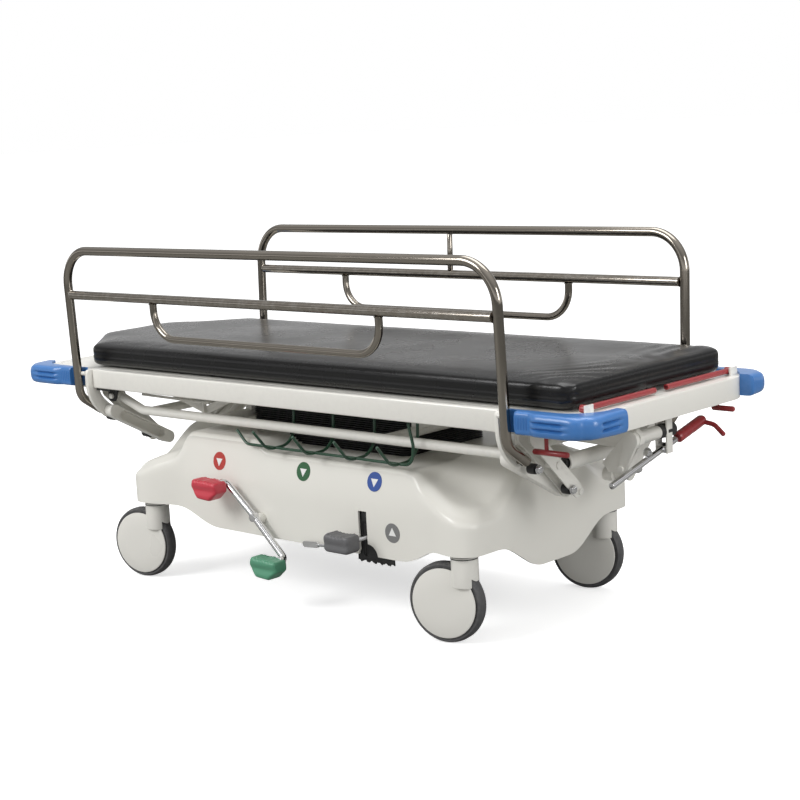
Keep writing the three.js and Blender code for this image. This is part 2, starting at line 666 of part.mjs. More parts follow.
// Green wire rack for a gas cylinder, hung round the near sub-frame tube.
const HOOK_COUNT = 4;
const HOOK_SPACING = 148;
const RACK_WIRE_RADIUS = 4;
function cylinderRack() {
  const firstHook = -50;
  const wire = RACK_WIRE_RADIUS;
  const riser = -(subframeY - 37);
  const rail = -Math.max(subframeY + 38, blockSide + 12);
  const bottom = recessTop + 18;
  const top = platformBottom - 6;
  const tip = rail - 77;
  const pieces = [];
  for (let i = 0; i < HOOK_COUNT; i += 1) {
    const x = firstHook + i * HOOK_SPACING;
    const path = [at(x, riser, top), at(x, riser - 7, bottom), at(x, rail - 30, bottom), at(x, tip, bottom + 56)];
    pieces.push(bentTube(path, wire, [50, 42], 6));
    const stubZ = subframeZ;
    pieces.push(rod(at(x, riser - 2, stubZ), at(x, -(subframeY - SUBFRAME_TUBE_RADIUS - GAP), stubZ), wire, 6));
  }
  const lastHook = firstHook + (HOOK_COUNT - 1) * HOOK_SPACING;
  pieces.push(rod(at(firstHook - 10, riser, top), at(lastHook + 10, riser, top), wire, 6));
  const longWire = [
    at(firstHook - 148, rail, bottom + 36),
    at(firstHook - 112, rail, bottom),
    at(lastHook + 44, rail, bottom),
    at(lastHook + 50, rail, bottom + 50),
    at(lastHook + 36, rail, top - 4),
  ];
  pieces.push(bentTube(longWire, wire, [20, 20, 30], 6));
  return toGeometry(join(...pieces));
}
add('cylinder_rack', cylinderRack(), wireGreen);

// ---------------------------------------------------------------- litter frame
for (const { name, sign } of sides) {
  const sideTube = box(
    -bracketInner + GAP,
    bracketInner - GAP,
    sign * innerSide,
    sign * litterSide,
    litterBottom,
    litterTop,
  );
  add(`litter_side_${name}`, sideTube, offWhite);
}

function litterEnd(sign) {
  const outer = plateXY(roundedBoxShape(litterHalf, litterSide, LITTER_CORNER_RADIUS), litterBottom, litterTop, 8);
  const inner = roundedBoxShape(innerEnd, innerSide, LITTER_CORNER_RADIUS - LITTER_TUBE_WIDTH);
  let ring = cut(toSolid(outer), plateXY(inner, 0, 1000, 8), box(sign * (bracketOuter + GAP), -sign * 2000, -500, 500, 0, 1000));
  if (sign > 0) {
    for (const side of sides) {
      const y = side.sign * handleHub.y;
      const ear = box(innerEnd - 2, innerEnd + 3, y - 15, y + 15, litterTop - 5, handleHub.z + 10);
      const pin = rod(at(handleHub.x - 9, y, handleHub.z), at(innerEnd + 2, y, handleHub.z), 5);
      ring = ring.add(toSolid(ear)).add(toSolid(pin));
    }
  }
  return toGeometry(ring);
}
const handleHub = { x: innerEnd - 12, y: litterSide - 47, z: litterTop + 10.5 };
for (const { name, sign } of ends) {
  add(`litter_end_${name}`, litterEnd(sign), offWhite);
}

const carrierX = bracketX + 14;
const hangerX = innerEnd - 48;
const linksFrom = -610;
const linksTo = linksFrom + 310;
function litterDeck() {
  const deckTop = litterTop - GAP;
  const deckBottom = deckTop - DECK_THICKNESS;
  const panel = roundedBoxShape(innerEnd - GAP, innerSide - GAP, LITTER_CORNER_RADIUS - LITTER_TUBE_WIDTH);
  const ribs = [-carrierX, linksFrom, linksTo, 300, crossTubes[3], carrierX, hangerX].map((x) =>
    box(x - RIB_WIDTH / 2, x + RIB_WIDTH / 2, -innerSide + 30, innerSide - 30, litterBottom + GAP, deckBottom + 2),
  );
  return toGeometry(join(plateXY(panel, deckBottom, deckTop), ...ribs));
}
add('litter_deck', litterDeck(), offWhite);

// ---------------------------------------------------------------- mattress
function mattress() {
  const side = litterSide - MATTRESS_SIDE_INSET;
  const head = -litterHalf + MATTRESS_HEAD_INSET;
  const foot = litterHalf - MATTRESS_FOOT_INSET;
  const radius = MATTRESS_CORNER_RADIUS;
  const shape = new THREE.Shape();
  shape.moveTo(head + MATTRESS_TAPER_LENGTH, -side);
  shape.lineTo(foot - radius, -side);
  shape.absarc(foot - radius, -side + radius, radius, -Math.PI / 2, 0);
  shape.absarc(foot - radius, side - radius, radius, 0, Math.PI / 2);
  shape.lineTo(head + MATTRESS_TAPER_LENGTH, side);
  shape.lineTo(head, MATTRESS_HEAD_WIDTH / 2);
  shape.lineTo(head, -MATTRESS_HEAD_WIDTH / 2);
  const bottom = litterTop + 0.4;
  return plateXY(shape, bottom, bottom + MATTRESS_THICKNESS, 6, 9);
}
add('mattress', mattress(), vinyl);

// ---------------------------------------------------------------- bumpers
function bumper(endLeg) {
  const inner = { x: litterHalf + GAP, y: litterSide + GAP, r: LITTER_CORNER_RADIUS + GAP };
  const outer = { x: litterHalf + BUMPER_END_DEPTH, y: litterSide + BUMPER_SIDE_DEPTH, r: BUMPER_CORNER_RADIUS };
  const tail = bracketOuter + 4;
  const thick = railHalf + RAIL_TUBE_RADIUS + 14;
  const shape = new THREE.Shape();
  shape.moveTo(tail, inner.y);
  shape.lineTo(tail, litterSide + BUMPER_TAIL_DEPTH);
  shape.lineTo(thick, litterSide + BUMPER_TAIL_DEPTH);
  shape.lineTo(thick + 4, outer.y - BUMPER_STEP);
  shape.lineTo(thick + BUMPER_STEP_LENGTH, outer.y - BUMPER_STEP);
  shape.lineTo(thick + BUMPER_STEP_LENGTH + 16, outer.y);
  shape.absarc(outer.x - outer.r, outer.y - outer.r, outer.r, Math.PI / 2, 0, true);
  shape.lineTo(outer.x, outer.y - endLeg + 10);
  shape.lineTo(outer.x - 8, outer.y - endLeg);
  const centre = { x: inner.x - inner.r, y: inner.y - inner.r };
  const from = Math.asin(Math.max((outer.y - endLeg - centre.y) / inner.r, 0));
  shape.lineTo(centre.x + inner.r * Math.cos(from), outer.y - endLeg);
  shape.absarc(centre.x, centre.y, inner.r, from, Math.PI / 2);
  const bottom = litterBottom + BUMPER_RISE;
  return toSolid(plateXY(shape, bottom, bottom + BUMPER_HEIGHT, 8));
}
for (const { end, side, name } of corners) {
  const endLeg = end.sign * side.sign < 0 ? BUMPER_LONG_END_LEG : BUMPER_SHORT_END_LEG;
  let solid = bumper(endLeg);
  if (end.sign < 0) solid = solid.mirror([1, 0, 0]);
  if (side.sign < 0) solid = solid.mirror([0, 1, 0]);
  add(`bumper_${name}`, toGeometry(solid), bumperBlue);
}

// ---------------------------------------------------------------- rail brackets and carriers
function railBracket(endSign) {
  const outerY = -(litterSide + 17);
  const innerY = -innerSide;
  const shape = new THREE.Shape();
  shape.moveTo(innerY, litterTop);
  shape.lineTo(outerY + 14, litterTop);
  shape.quadraticCurveTo(outerY, litterTop, outerY, litterTop - 14);
  shape.lineTo(outerY, litterBottom + 8);
  shape.quadraticCurveTo(outerY + 2, pivotZ + 26, -pivotY - 14, pivotZ - 13);
  shape.absarc(-pivotY, pivotZ, 19, (225 * Math.PI) / 180, (405 * Math.PI) / 180);
  shape.quadraticCurveTo(innerY - 8, pivotZ + 44, innerY - 8, litterBottom);
  shape.lineTo(innerY, litterBottom);
  const near = Math.min(endSign * bracketInner, endSign * bracketOuter);
  const plate = toSolid(plateYZ(shape, near, near + BRACKET_THICKNESS, 5));
  const bore = rod(at(near - 5, -pivotY, pivotZ), at(near + BRACKET_THICKNESS + 5, -pivotY, pivotZ), RAIL_PIN_RADIUS + RUNNING_GAP, 20);
  const latchZ = litterTop - 10;
  const plunger = rod(
    at(endSign * (bracketOuter - 3), -postY(latchZ) + 6, latchZ),
    at(endSign * (railHalf - RAIL_TUBE_RADIUS - GAP - 0.2), -postY(latchZ) + 6, latchZ),
    LATCH_PIN_RADIUS,
  );
  return toGeometry(cut(plate, bore).add(toSolid(plunger)));
}

// Channel arms that run from the rail pivot down and in, and back up to the litter.
function railCarrier(endSign) {
  const bolt = { y: -pivotY + CARRIER_REACH, z: pivotZ - CARRIER_DROP };
  const half = CARRIER_SECTION / 2;
  const inboard = bracketInner - 1.3;
  const lowerArm = linkShape(-pivotY, pivotZ, bolt.y, bolt.z, half);
  const upperTop = { y: -(subframeY + 4), z: litterBottom - 22 };
  const upperArm = linkShape(upperTop.y, upperTop.z, bolt.y - 8, bolt.z + 4, half);
  const armX = (from, to) => [Math.min(endSign * from, endSign * to), Math.max(endSign * from, endSign * to)];
  const flange = 4;
  const lower = toSolid(plateYZ(lowerArm, ...armX(inboard - CARRIER_WIDTH, inboard), 4));
  const lowerHollow = plateYZ(
    linkShape(-pivotY + 30, pivotZ - 17, bolt.y - 30, bolt.z + 17, half - flange),
    ...armX(inboard - CARRIER_WIDTH - 5, inboard - flange),
    2,
  );
  const upperFrom = bracketOuter - BRACKET_THICKNESS + 2;
  const plates = [
    plateYZ(upperArm, ...armX(upperFrom, upperFrom + flange), 4),
    plateYZ(upperArm, ...armX(upperFrom + 34, upperFrom + 34 + flange), 4),
    box(...armX(upperFrom, upperFrom + 38), upperTop.y - 22, upperTop.y + 30, litterBottom - 9, litterBottom - GAP),
    rod(at(endSign * (inboard - 8), bolt.y, bolt.z), at(endSign * (upperFrom + 42), bolt.y, bolt.z), 9),
    rod(
      at(endSign * (upperFrom + 1), (upperTop.y + bolt.y) / 2, (upperTop.z + bolt.z) / 2),
      at(endSign * (upperFrom + 42), (upperTop.y + bolt.y) / 2, (upperTop.z + bolt.z) / 2),
      9,
    ),
  ];
  return toGeometry(join(...plates).add(cut(lower, lowerHollow)));
}
for (const { end, side, name } of corners) {
  add(`rail_bracket_${name}`, mirroredY(railBracket(end.sign), side.sign), offWhite);
  add(`rail_carrier_${name}`, mirroredY(railCarrier(end.sign), side.sign), offWhite);
}

// ---------------------------------------------------------------- side rails
function railFrame() {
  const elbowZ = litterBottom - RAIL_ELBOW_DROP;
  const path = [];
  for (const { sign } of ends) {
    const leg = [
      at(sign * railHalf, -pivotY, pivotZ),
      at(sign * railHalf, -postY(elbowZ), elbowZ),
      at(sign * railHalf, -postY(railTopZ), railTopZ),
    ];
    path.push(...(sign < 0 ? leg : leg.reverse()));
  }
  const tube = bentTube(path, RAIL_TUBE_RADIUS, [RAIL_ELBOW_RADIUS, RAIL_CORNER_RADIUS, RAIL_CORNER_RADIUS, RAIL_ELBOW_RADIUS], 12);
  const pins = ends.map(({ sign }) =>
    rod(at(sign * railHalf, -pivotY, pivotZ), at(sign * (bracketInner - 0.7), -pivotY, pivotZ), RAIL_PIN_RADIUS, 20),
  );
  return toGeometry(join(tube, ...pins));
}

function railMidBar() {
  const end = railHalf - RAIL_TUBE_RADIUS - GAP;
  const y = -postY(railMidZ);
  return rod(at(-end, y, railMidZ), at(end, y, railMidZ), RAIL_TUBE_RADIUS, 12);
}

function railLoop() {
  const top = railMidZ - RAIL_TUBE_RADIUS - GAP;
  const half = RAIL_LOOP_LENGTH / 2;
  const path = [
    at(-half, -postY(top), top),
    at(-half, -postY(railLoopZ), railLoopZ),
    at(half, -postY(railLoopZ), railLoopZ),
    at(half, -postY(top), top),
  ];
  return bentTube(path, RAIL_LOOP_RADIUS, 76, 10);
}

for (const { name, sign } of sides) {
  add(`rail_frame_${name}`, mirroredY(railFrame(), sign), stainless);
  add(`rail_mid_bar_${name}`, mirroredY(railMidBar(), sign), stainless);
  add(`rail_loop_${name}`, mirroredY(railLoop(), sign), stainless);
}
const strutLow = railMidZ + RAIL_TUBE_RADIUS + GAP;
const strutHigh = railTopZ - RAIL_TUBE_RADIUS - GAP;
add('rail_strut_far', rod(at(0, postY(strutLow), strutLow), at(0, postY(strutHigh), strutHigh), 8, 12), stainless);

// ---------------------------------------------------------------- tilt hinge lugs
function hingeLug() {
  const inner = -(subframeY + SUBFRAME_TUBE_RADIUS + 14);
  const outer = inner - 8;
  const shape = new THREE.Shape();
  shape.moveTo(hinge.x + 17, hinge.z);
  shape.lineTo(hinge.x + 30, litterBottom - GAP);
  shape.lineTo(hinge.x - 17, litterBottom - GAP);
  shape.lineTo(hinge.x - 17, hinge.z);
  shape.absarc(hinge.x, hinge.z, 17, Math.PI, 2 * Math.PI);
  const foot = box(hinge.x - 15, hinge.x + 45, -litterSide + 6, inner, litterBottom - 7, litterBottom - GAP);
  const bore = rod(at(hinge.x, inner + 5, hinge.z), at(hinge.x, outer - 5, hinge.z), HINGE_PIN_RADIUS + RUNNING_GAP, 20);
  return toGeometry(cut(join(plateXZ(shape, outer, inner), foot), bore));
}
for (const { name, sign } of sides) {
  add(`tilt_lug_${name}`, mirroredY(hingeLug(), sign), blackRubber);
}

// ---------------------------------------------------------------- backrest links
for (const { name, sign } of sides) {
  const topZ = litterBottom - 11;
  const low = { x: linksFrom + 180, z: litterBottom - 63 };
  const links = join(
    plateXZ(linkShape(linksFrom, topZ, low.x, low.z, 11), -restY - 6, -restY),
    plateXZ(linkShape(low.x, low.z, linksTo, topZ, 11), -restY - 6, -restY),
    rod(at(linksFrom - 90, -restY - 13, topZ - 24), at(low.x + 26, -restY - 13, topZ - 28), 4, 8),
    rod(at(low.x, -restY, low.z), at(low.x, -restY - 17, low.z), 6, 12),
    box(low.x - 4, low.x + 4, -restY - 17, -restY - 6, low.z, topZ - 24),
  );
  add(`backrest_links_${name}`, mirroredY(toGeometry(links), sign), offWhite);
}

// ---------------------------------------------------------------- foot-end mechanism
const carrierMiddle = {
  y: (subframeY + 4 + pivotY - CARRIER_REACH) / 2 - 4,
  z: litterBottom - 22 - (litterBottom - 22 - pivotZ + CARRIER_DROP) / 2,
};
const crossTubeReach = carrierMiddle.y - 46;
add(
  'foot_cross_tube',
  rod(at(carrierX + 4, -crossTubeReach, carrierMiddle.z - 4), at(carrierX + 4, crossTubeReach, carrierMiddle.z - 4), 19, 24),
  offWhite,
);

const bossX = hangerX;
const bossZ = litterBottom - 49;
function footBeam() {
  const y = -60;
  const beamStart = carrierX - 30;
  const beam = polygon([
    [beamStart, bossZ - 18],
    [bossX, bossZ - 24],
    [bossX + 22, bossZ - 10],
    [bossX + 26, bossZ + 8],
    [bossX + 10, bossZ + 25],
    [beamStart, bossZ + 8],
  ]);
  const link = polygon([
    [bossX - 20, bossZ + 10],
    [bossX - 84, bossZ - 62],
    [bossX - 66, bossZ - 82],
    [bossX - 22, bossZ - 84],
    [bossX + 18, bossZ - 6],
  ]);
  return toGeometry(
    join(
      plateXZ(beam, y - 9, y + 9),
      plateXZ(link, y - 15, y - 6),
      rod(at(bossX, y - 20, bossZ), at(bossX, y + 9, bossZ), 22, 24),
      rod(at(bossX, y, bossZ), at(bossX, y + 92, bossZ), 17, 20),
      box(carrierX - 10, carrierX + 12, y - 9, y + 9, bossZ, litterBottom),
      rod(at(bossX - 30, y - 22, bossZ - 72), at(bossX - 30, y - 6, bossZ - 72), 9),
    ),
  );
}
add('foot_beam', footBeam(), offWhite);

const leverPivot = at(hangerX, 62, litterBottom - 91);
function leverHanger() {
  const plates = [-1, 1].map((sign) => {
    const x = leverPivot.x + sign * 15;
    return box(x - 2, x + 2, leverPivot.y - 12, leverPivot.y + 12, leverPivot.z - 12, litterBottom - GAP);
  });
  const bridge = box(leverPivot.x - 17, leverPivot.x + 17, leverPivot.y - 12, leverPivot.y + 12, litterBottom - 8, litterBottom - GAP);
  const pin = rod(leverPivot.clone().setX(leverPivot.x - 16), leverPivot.clone().setX(leverPivot.x + 16), 5);
  return toGeometry(join(...plates, bridge, pin));
}
add('tilt_hanger', leverHanger(), offWhite);

const leverSlope = new THREE.Vector3(0, 280, 68).normalize();
const leverLow = leverPivot.clone().addScaledVector(leverSlope, -225);
const gripStart = leverPivot.clone().addScaledVector(leverSlope, 58);
const gripEnd = leverPivot.clone().addScaledVector(leverSlope, 176);
const leverTube = join(
  rod(leverLow, gripStart, 8, 16),
  rod(leverPivot.clone().setX(leverPivot.x - 12), leverPivot.clone().setX(leverPivot.x + 12), 13, 20),
);
const leverBore = rod(leverPivot.clone().setX(leverPivot.x - 20), leverPivot.clone().setX(leverPivot.x + 20), 5 + RUNNING_GAP);
add('tilt_lever', toGeometry(cut(leverTube, leverBore)), chrome);
const grip = join(
  rod(gripStart.clone().addScaledVector(leverSlope, GAP), gripEnd, 14, 20),
  rod(gripEnd.clone().addScaledVector(leverSlope, -12), gripEnd.clone().add(at(70, -16, -31)), 6, 12),
);
add('tilt_grip', toGeometry(grip), handleRed);

// ---------------------------------------------------------------- push handles and release pulls
for (const { name, sign } of sides) {
  const y = sign * handleHub.y;
  const handle = join(
    rod(at(handleHub.x, y, handleHub.z), at(handleHub.x, sign * 24, handleHub.z), PUSH_HANDLE_RADIUS, 16),
    rod(at(handleHub.x - 8, y, handleHub.z), at(handleHub.x + 8, y, handleHub.z), 9.5, 20),
  );
  const bore = rod(at(handleHub.x - 20, y, handleHub.z), at(handleHub.x + 20, y, handleHub.z), 5 + RUNNING_GAP);
  add(`push_handle_${name}`, toGeometry(cut(handle, bore)), handleRed);
}

const pulls = {
  near: { x: hangerX - 81, inset: 55, reach: [-38, 62], drop: 48 },
  far: { x: hangerX + 24, inset: 83, reach: [-14, 48], drop: 24 },
};
for (const { name, sign } of sides) {
  const { x, inset, reach, drop } = pulls[name];
  const y = sign * (litterSide - inset);
  const z = litterBottom - drop;
  const top = litterTop - GAP - DECK_THICKNESS - GAP;
  const pull = join(
    rod(at(x, y, top), at(x, y, z), 5, 12),
    rod(at(x + reach[0], y, z), at(x + reach[1], y, z), 7, 14),
  );
  add(`release_pull_${name}`, toGeometry(pull), handleRed);
}

export default trolley;
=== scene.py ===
"""Hospital stretcher trolley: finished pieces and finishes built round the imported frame."""
import json
import math

import bpy
from mathutils import Matrix, Vector
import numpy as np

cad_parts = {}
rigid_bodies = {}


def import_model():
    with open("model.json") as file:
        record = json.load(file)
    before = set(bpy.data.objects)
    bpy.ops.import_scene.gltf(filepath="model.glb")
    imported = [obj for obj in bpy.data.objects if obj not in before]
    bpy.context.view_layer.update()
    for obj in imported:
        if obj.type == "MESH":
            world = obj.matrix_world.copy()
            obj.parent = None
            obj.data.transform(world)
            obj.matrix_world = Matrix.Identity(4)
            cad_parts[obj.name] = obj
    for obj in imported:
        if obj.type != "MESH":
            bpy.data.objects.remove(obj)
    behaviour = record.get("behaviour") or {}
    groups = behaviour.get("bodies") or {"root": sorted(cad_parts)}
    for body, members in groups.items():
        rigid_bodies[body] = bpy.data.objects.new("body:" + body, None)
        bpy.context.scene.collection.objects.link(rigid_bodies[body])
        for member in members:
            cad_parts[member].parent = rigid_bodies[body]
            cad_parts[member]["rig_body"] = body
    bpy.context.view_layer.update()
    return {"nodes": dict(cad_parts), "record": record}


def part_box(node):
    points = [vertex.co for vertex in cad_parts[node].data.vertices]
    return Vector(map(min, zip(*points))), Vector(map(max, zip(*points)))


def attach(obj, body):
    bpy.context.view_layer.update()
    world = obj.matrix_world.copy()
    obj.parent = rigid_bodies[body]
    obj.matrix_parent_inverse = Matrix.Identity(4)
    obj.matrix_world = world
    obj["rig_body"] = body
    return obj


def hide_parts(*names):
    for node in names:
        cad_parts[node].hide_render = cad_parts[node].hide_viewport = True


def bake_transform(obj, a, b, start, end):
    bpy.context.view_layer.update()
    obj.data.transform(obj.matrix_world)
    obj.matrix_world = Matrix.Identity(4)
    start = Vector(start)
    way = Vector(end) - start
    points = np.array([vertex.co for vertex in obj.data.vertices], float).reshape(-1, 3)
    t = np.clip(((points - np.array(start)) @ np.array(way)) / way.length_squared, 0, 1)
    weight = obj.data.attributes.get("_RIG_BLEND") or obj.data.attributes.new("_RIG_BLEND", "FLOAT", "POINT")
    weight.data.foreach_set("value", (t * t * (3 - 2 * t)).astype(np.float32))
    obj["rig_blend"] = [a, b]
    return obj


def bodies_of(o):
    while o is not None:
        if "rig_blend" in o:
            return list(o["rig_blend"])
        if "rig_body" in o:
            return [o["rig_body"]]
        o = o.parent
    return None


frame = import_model()
NODES = frame["nodes"]
SIDES = (("near", -1), ("far", 1))
ENDS = (("head", -1), ("foot", 1))
CORNERS = [(e, s, ex, sy) for e, ex in ENDS for s, sy in SIDES]


# ------------------------------------------------------------------ workshop helpers
def deselect():
    if bpy.context.object and bpy.context.object.mode != "OBJECT":
        bpy.ops.object.mode_set(mode="OBJECT")
    bpy.ops.object.select_all(action="DESELECT")


def pick(o):
    deselect()
    o.select_set(True)
    bpy.context.view_layer.objects.active = o


def open_mesh(o):
    pick(o)
    bpy.ops.object.mode_set(mode="EDIT")
    bpy.ops.mesh.select_all(action="SELECT")


def settle(o, smooth=35):
    """Places the mesh, merges its doubles, turns its faces outwards and smooths it."""
    pick(o)
    bpy.ops.object.transform_apply(location=True, rotation=True, scale=True)
    open_mesh(o)
    bpy.ops.mesh.remove_doubles(threshold=1e-5)
    bpy.ops.mesh.normals_make_consistent(inside=False)
    bpy.ops.object.mode_set(mode="OBJECT")
    bpy.ops.object.shade_smooth_by_angle(angle=math.radians(smooth))
    return o


def use(o, kind, **values):
    """Adds one modifier and applies it."""
    pick(o)
    m = o.modifiers.new(kind.lower(), kind)
    for k, v in values.items():
        setattr(m, k, v)
    bpy.ops.object.modifier_apply(modifier=m.name)
    return o


def soften(o, width, segments=3, angle=30):
    if width:
        use(o, "BEVEL", width=width, segments=segments, limit_method="ANGLE", angle_limit=math.radians(angle))
    return o


def facing(direction):
    return Vector(direction).to_track_quat("Z", "Y").to_euler()


def tube(points, radius, bend=0.0, sides=24, steps=8, tip=0.0):
    """A round tube drawn through its corners, each bend spun about its own centre."""
    points = [Vector(p) for p in points]
    bends = bend if isinstance(bend, (list, tuple)) else [bend] * len(points)
    deselect()
    bpy.ops.mesh.primitive_circle_add(
        vertices=sides, radius=radius, fill_type="NGON", location=points[0], rotation=facing(points[1] - points[0])
    )
    o = bpy.context.object
    bpy.ops.object.transform_apply()
    open_mesh(o)
    here = points[0]
    for i in range(1, len(points) - 1):
        into = (points[i] - points[i - 1]).normalized()
        away = (points[i + 1] - points[i]).normalized()
        turn = into.angle(away)
        if turn < 1e-4:
            continue
        back = bends[i - 1] * math.tan(turn / 2)
        start = points[i] - into * back
        if (start - here).length > 1e-5:
            bpy.ops.mesh.extrude_region_move(TRANSFORM_OT_translate={"value": start - here})
        axis = into.cross(away).normalized()
        centre = start + axis.cross(into) * bends[i - 1]
        bpy.ops.mesh.spin(steps=steps, angle=-turn, center=centre, axis=axis)
        here = points[i] + away * back
    bpy.ops.mesh.extrude_region_move(TRANSFORM_OT_translate={"value": points[-1] - here})
    settle(o)
    if tip:
        soften(o, tip, 2, 60)
        settle(o)
    return o


def drum(start, end, radius, soft=0.001, sides=32, segments=2):
    """A round bar with softened ends."""
    start, end = Vector(start), Vector(end)
    run = end - start
    deselect()
    bpy.ops.mesh.primitive_cylinder_add(
        vertices=sides, radius=radius, depth=run.length, location=(start + end) / 2, rotation=facing(run)
    )
    o = bpy.context.object
    bpy.ops.object.transform_apply()
    soften(o, soft, segments, 50)
    return settle(o)


def block(low, high, soft=0.002, segments=3):
    low, high = Vector(low), Vector(high)
    deselect()
    bpy.ops.mesh.primitive_cube_add(size=1, location=(low + high) / 2, scale=high - low)
    o = bpy.context.object
    bpy.ops.object.transform_apply()
    soften(o, soft, segments)
    return settle(o)


def turned(profile, centre, axis, steps=48):
    """A lathe-turned piece: radius and height pairs, spun once round the axis."""
    axis, centre = Vector(axis).normalized(), Vector(centre)
    out = axis.orthogonal().normalized()
    deselect()
    bpy.ops.mesh.primitive_circle_add(vertices=len(profile), radius=1, fill_type="NOTHING")
    o = bpy.context.object
    for v, (r, h) in zip(o.data.vertices, profile):
        v.co = centre + out * r + axis * h
    open_mesh(o)
    bpy.ops.mesh.spin(steps=steps, angle=2 * math.pi, center=centre, axis=axis)
    bpy.ops.mesh.select_all(action="SELECT")
    bpy.ops.mesh.remove_doubles(threshold=2e-5)
    bpy.ops.mesh.dissolve_degenerate(threshold=1e-5)
    bpy.ops.mesh.delete_loose(use_verts=True, use_edges=True, use_faces=False)
    return settle(o)


def surface(columns, rows, place, smooth=35, wrap=True):
    """A panel of columns and rows laid on a worked-out form, open ends filled."""
    deselect()
    bpy.ops.mesh.primitive_grid_add(x_subdivisions=columns, y_subdivisions=rows, size=2)
    o = bpy.context.object
    for v in o.data.vertices:
        v.co = place((v.co.x + 1) / 2, (v.co.y + 1) / 2)
    open_mesh(o)
    bpy.ops.mesh.remove_doubles(threshold=1e-5)
    if wrap:
        bpy.ops.mesh.fill_holes(sides=0)
    return settle(o, smooth)


def refined(node, soft, segments=2):
    """The frame's own plate with its edges rounded."""
    mesh = NODES[node].data.copy()
    for key in list(mesh.keys()):
        del mesh[key]
    mesh.materials.clear()
    o = bpy.data.objects.new(node + "_finish", mesh)
    bpy.context.collection.objects.link(o)
    open_mesh(o)
    bpy.ops.mesh.remove_doubles(threshold=1e-5)
    bpy.ops.mesh.dissolve_limited(angle_limit=math.radians(0.5))
    bpy.ops.object.mode_set(mode="OBJECT")
    use(o, "BEVEL", width=soft, segments=segments, limit_method="ANGLE", angle_limit=math.radians(30),
        use_clamp_overlap=True, harden_normals=False)
    return settle(o, 30)


def carve(o, cutter):
    use(o, "BOOLEAN", object=cutter, operation="DIFFERENCE", solver="EXACT")
    bpy.data.objects.remove(cutter)
    return o


def joined(shells):
    deselect()
    for s in shells:
        s.select_set(True)
    bpy.context.view_layer.objects.active = shells[0]
    if len(shells) > 1:
        bpy.ops.object.join()
    return bpy.context.object


def body_of(node):
    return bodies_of(NODES[node])[0]


def ease(t):
    t = min(max(t, 0.0), 1.0)
    return t * t * (3 - 2 * t)


def mix(a, b, t):
    return a + (b - a) * t


# ------------------------------------------------------------------ finishes
def new_group(name, inputs, outputs):
    tree = bpy.data.node_groups.new(name, "ShaderNodeTree")
    for label, kind, value in inputs:
        s = tree.interface.new_socket(label, in_out="INPUT", socket_type=kind)
        s.default_value = value
    for label, kind in outputs:
        tree.interface.new_socket(label, in_out="OUTPUT", socket_type=kind)
    return tree, tree.nodes.new("NodeGroupInput"), tree.nodes.new("NodeGroupOutput")


def add_node(tree, kind, settings=None, **inputs):
    n = tree.nodes.new(kind)
    for k, v in (settings or {}).items():
        setattr(n, k, v)
    for k, v in inputs.items():
        socket = n.inputs[int(k[1:])] if k[0] == "i" and k[1:].isdigit() else n.inputs[k.replace("_", " ")]
        if isinstance(v, bpy.types.NodeSocket):
            tree.links.new(v, socket)
        else:
            socket.default_value = v
    return n


FLOAT, COLOR, VECTOR = "NodeSocketFloat", "NodeSocketColor", "NodeSocketVector"


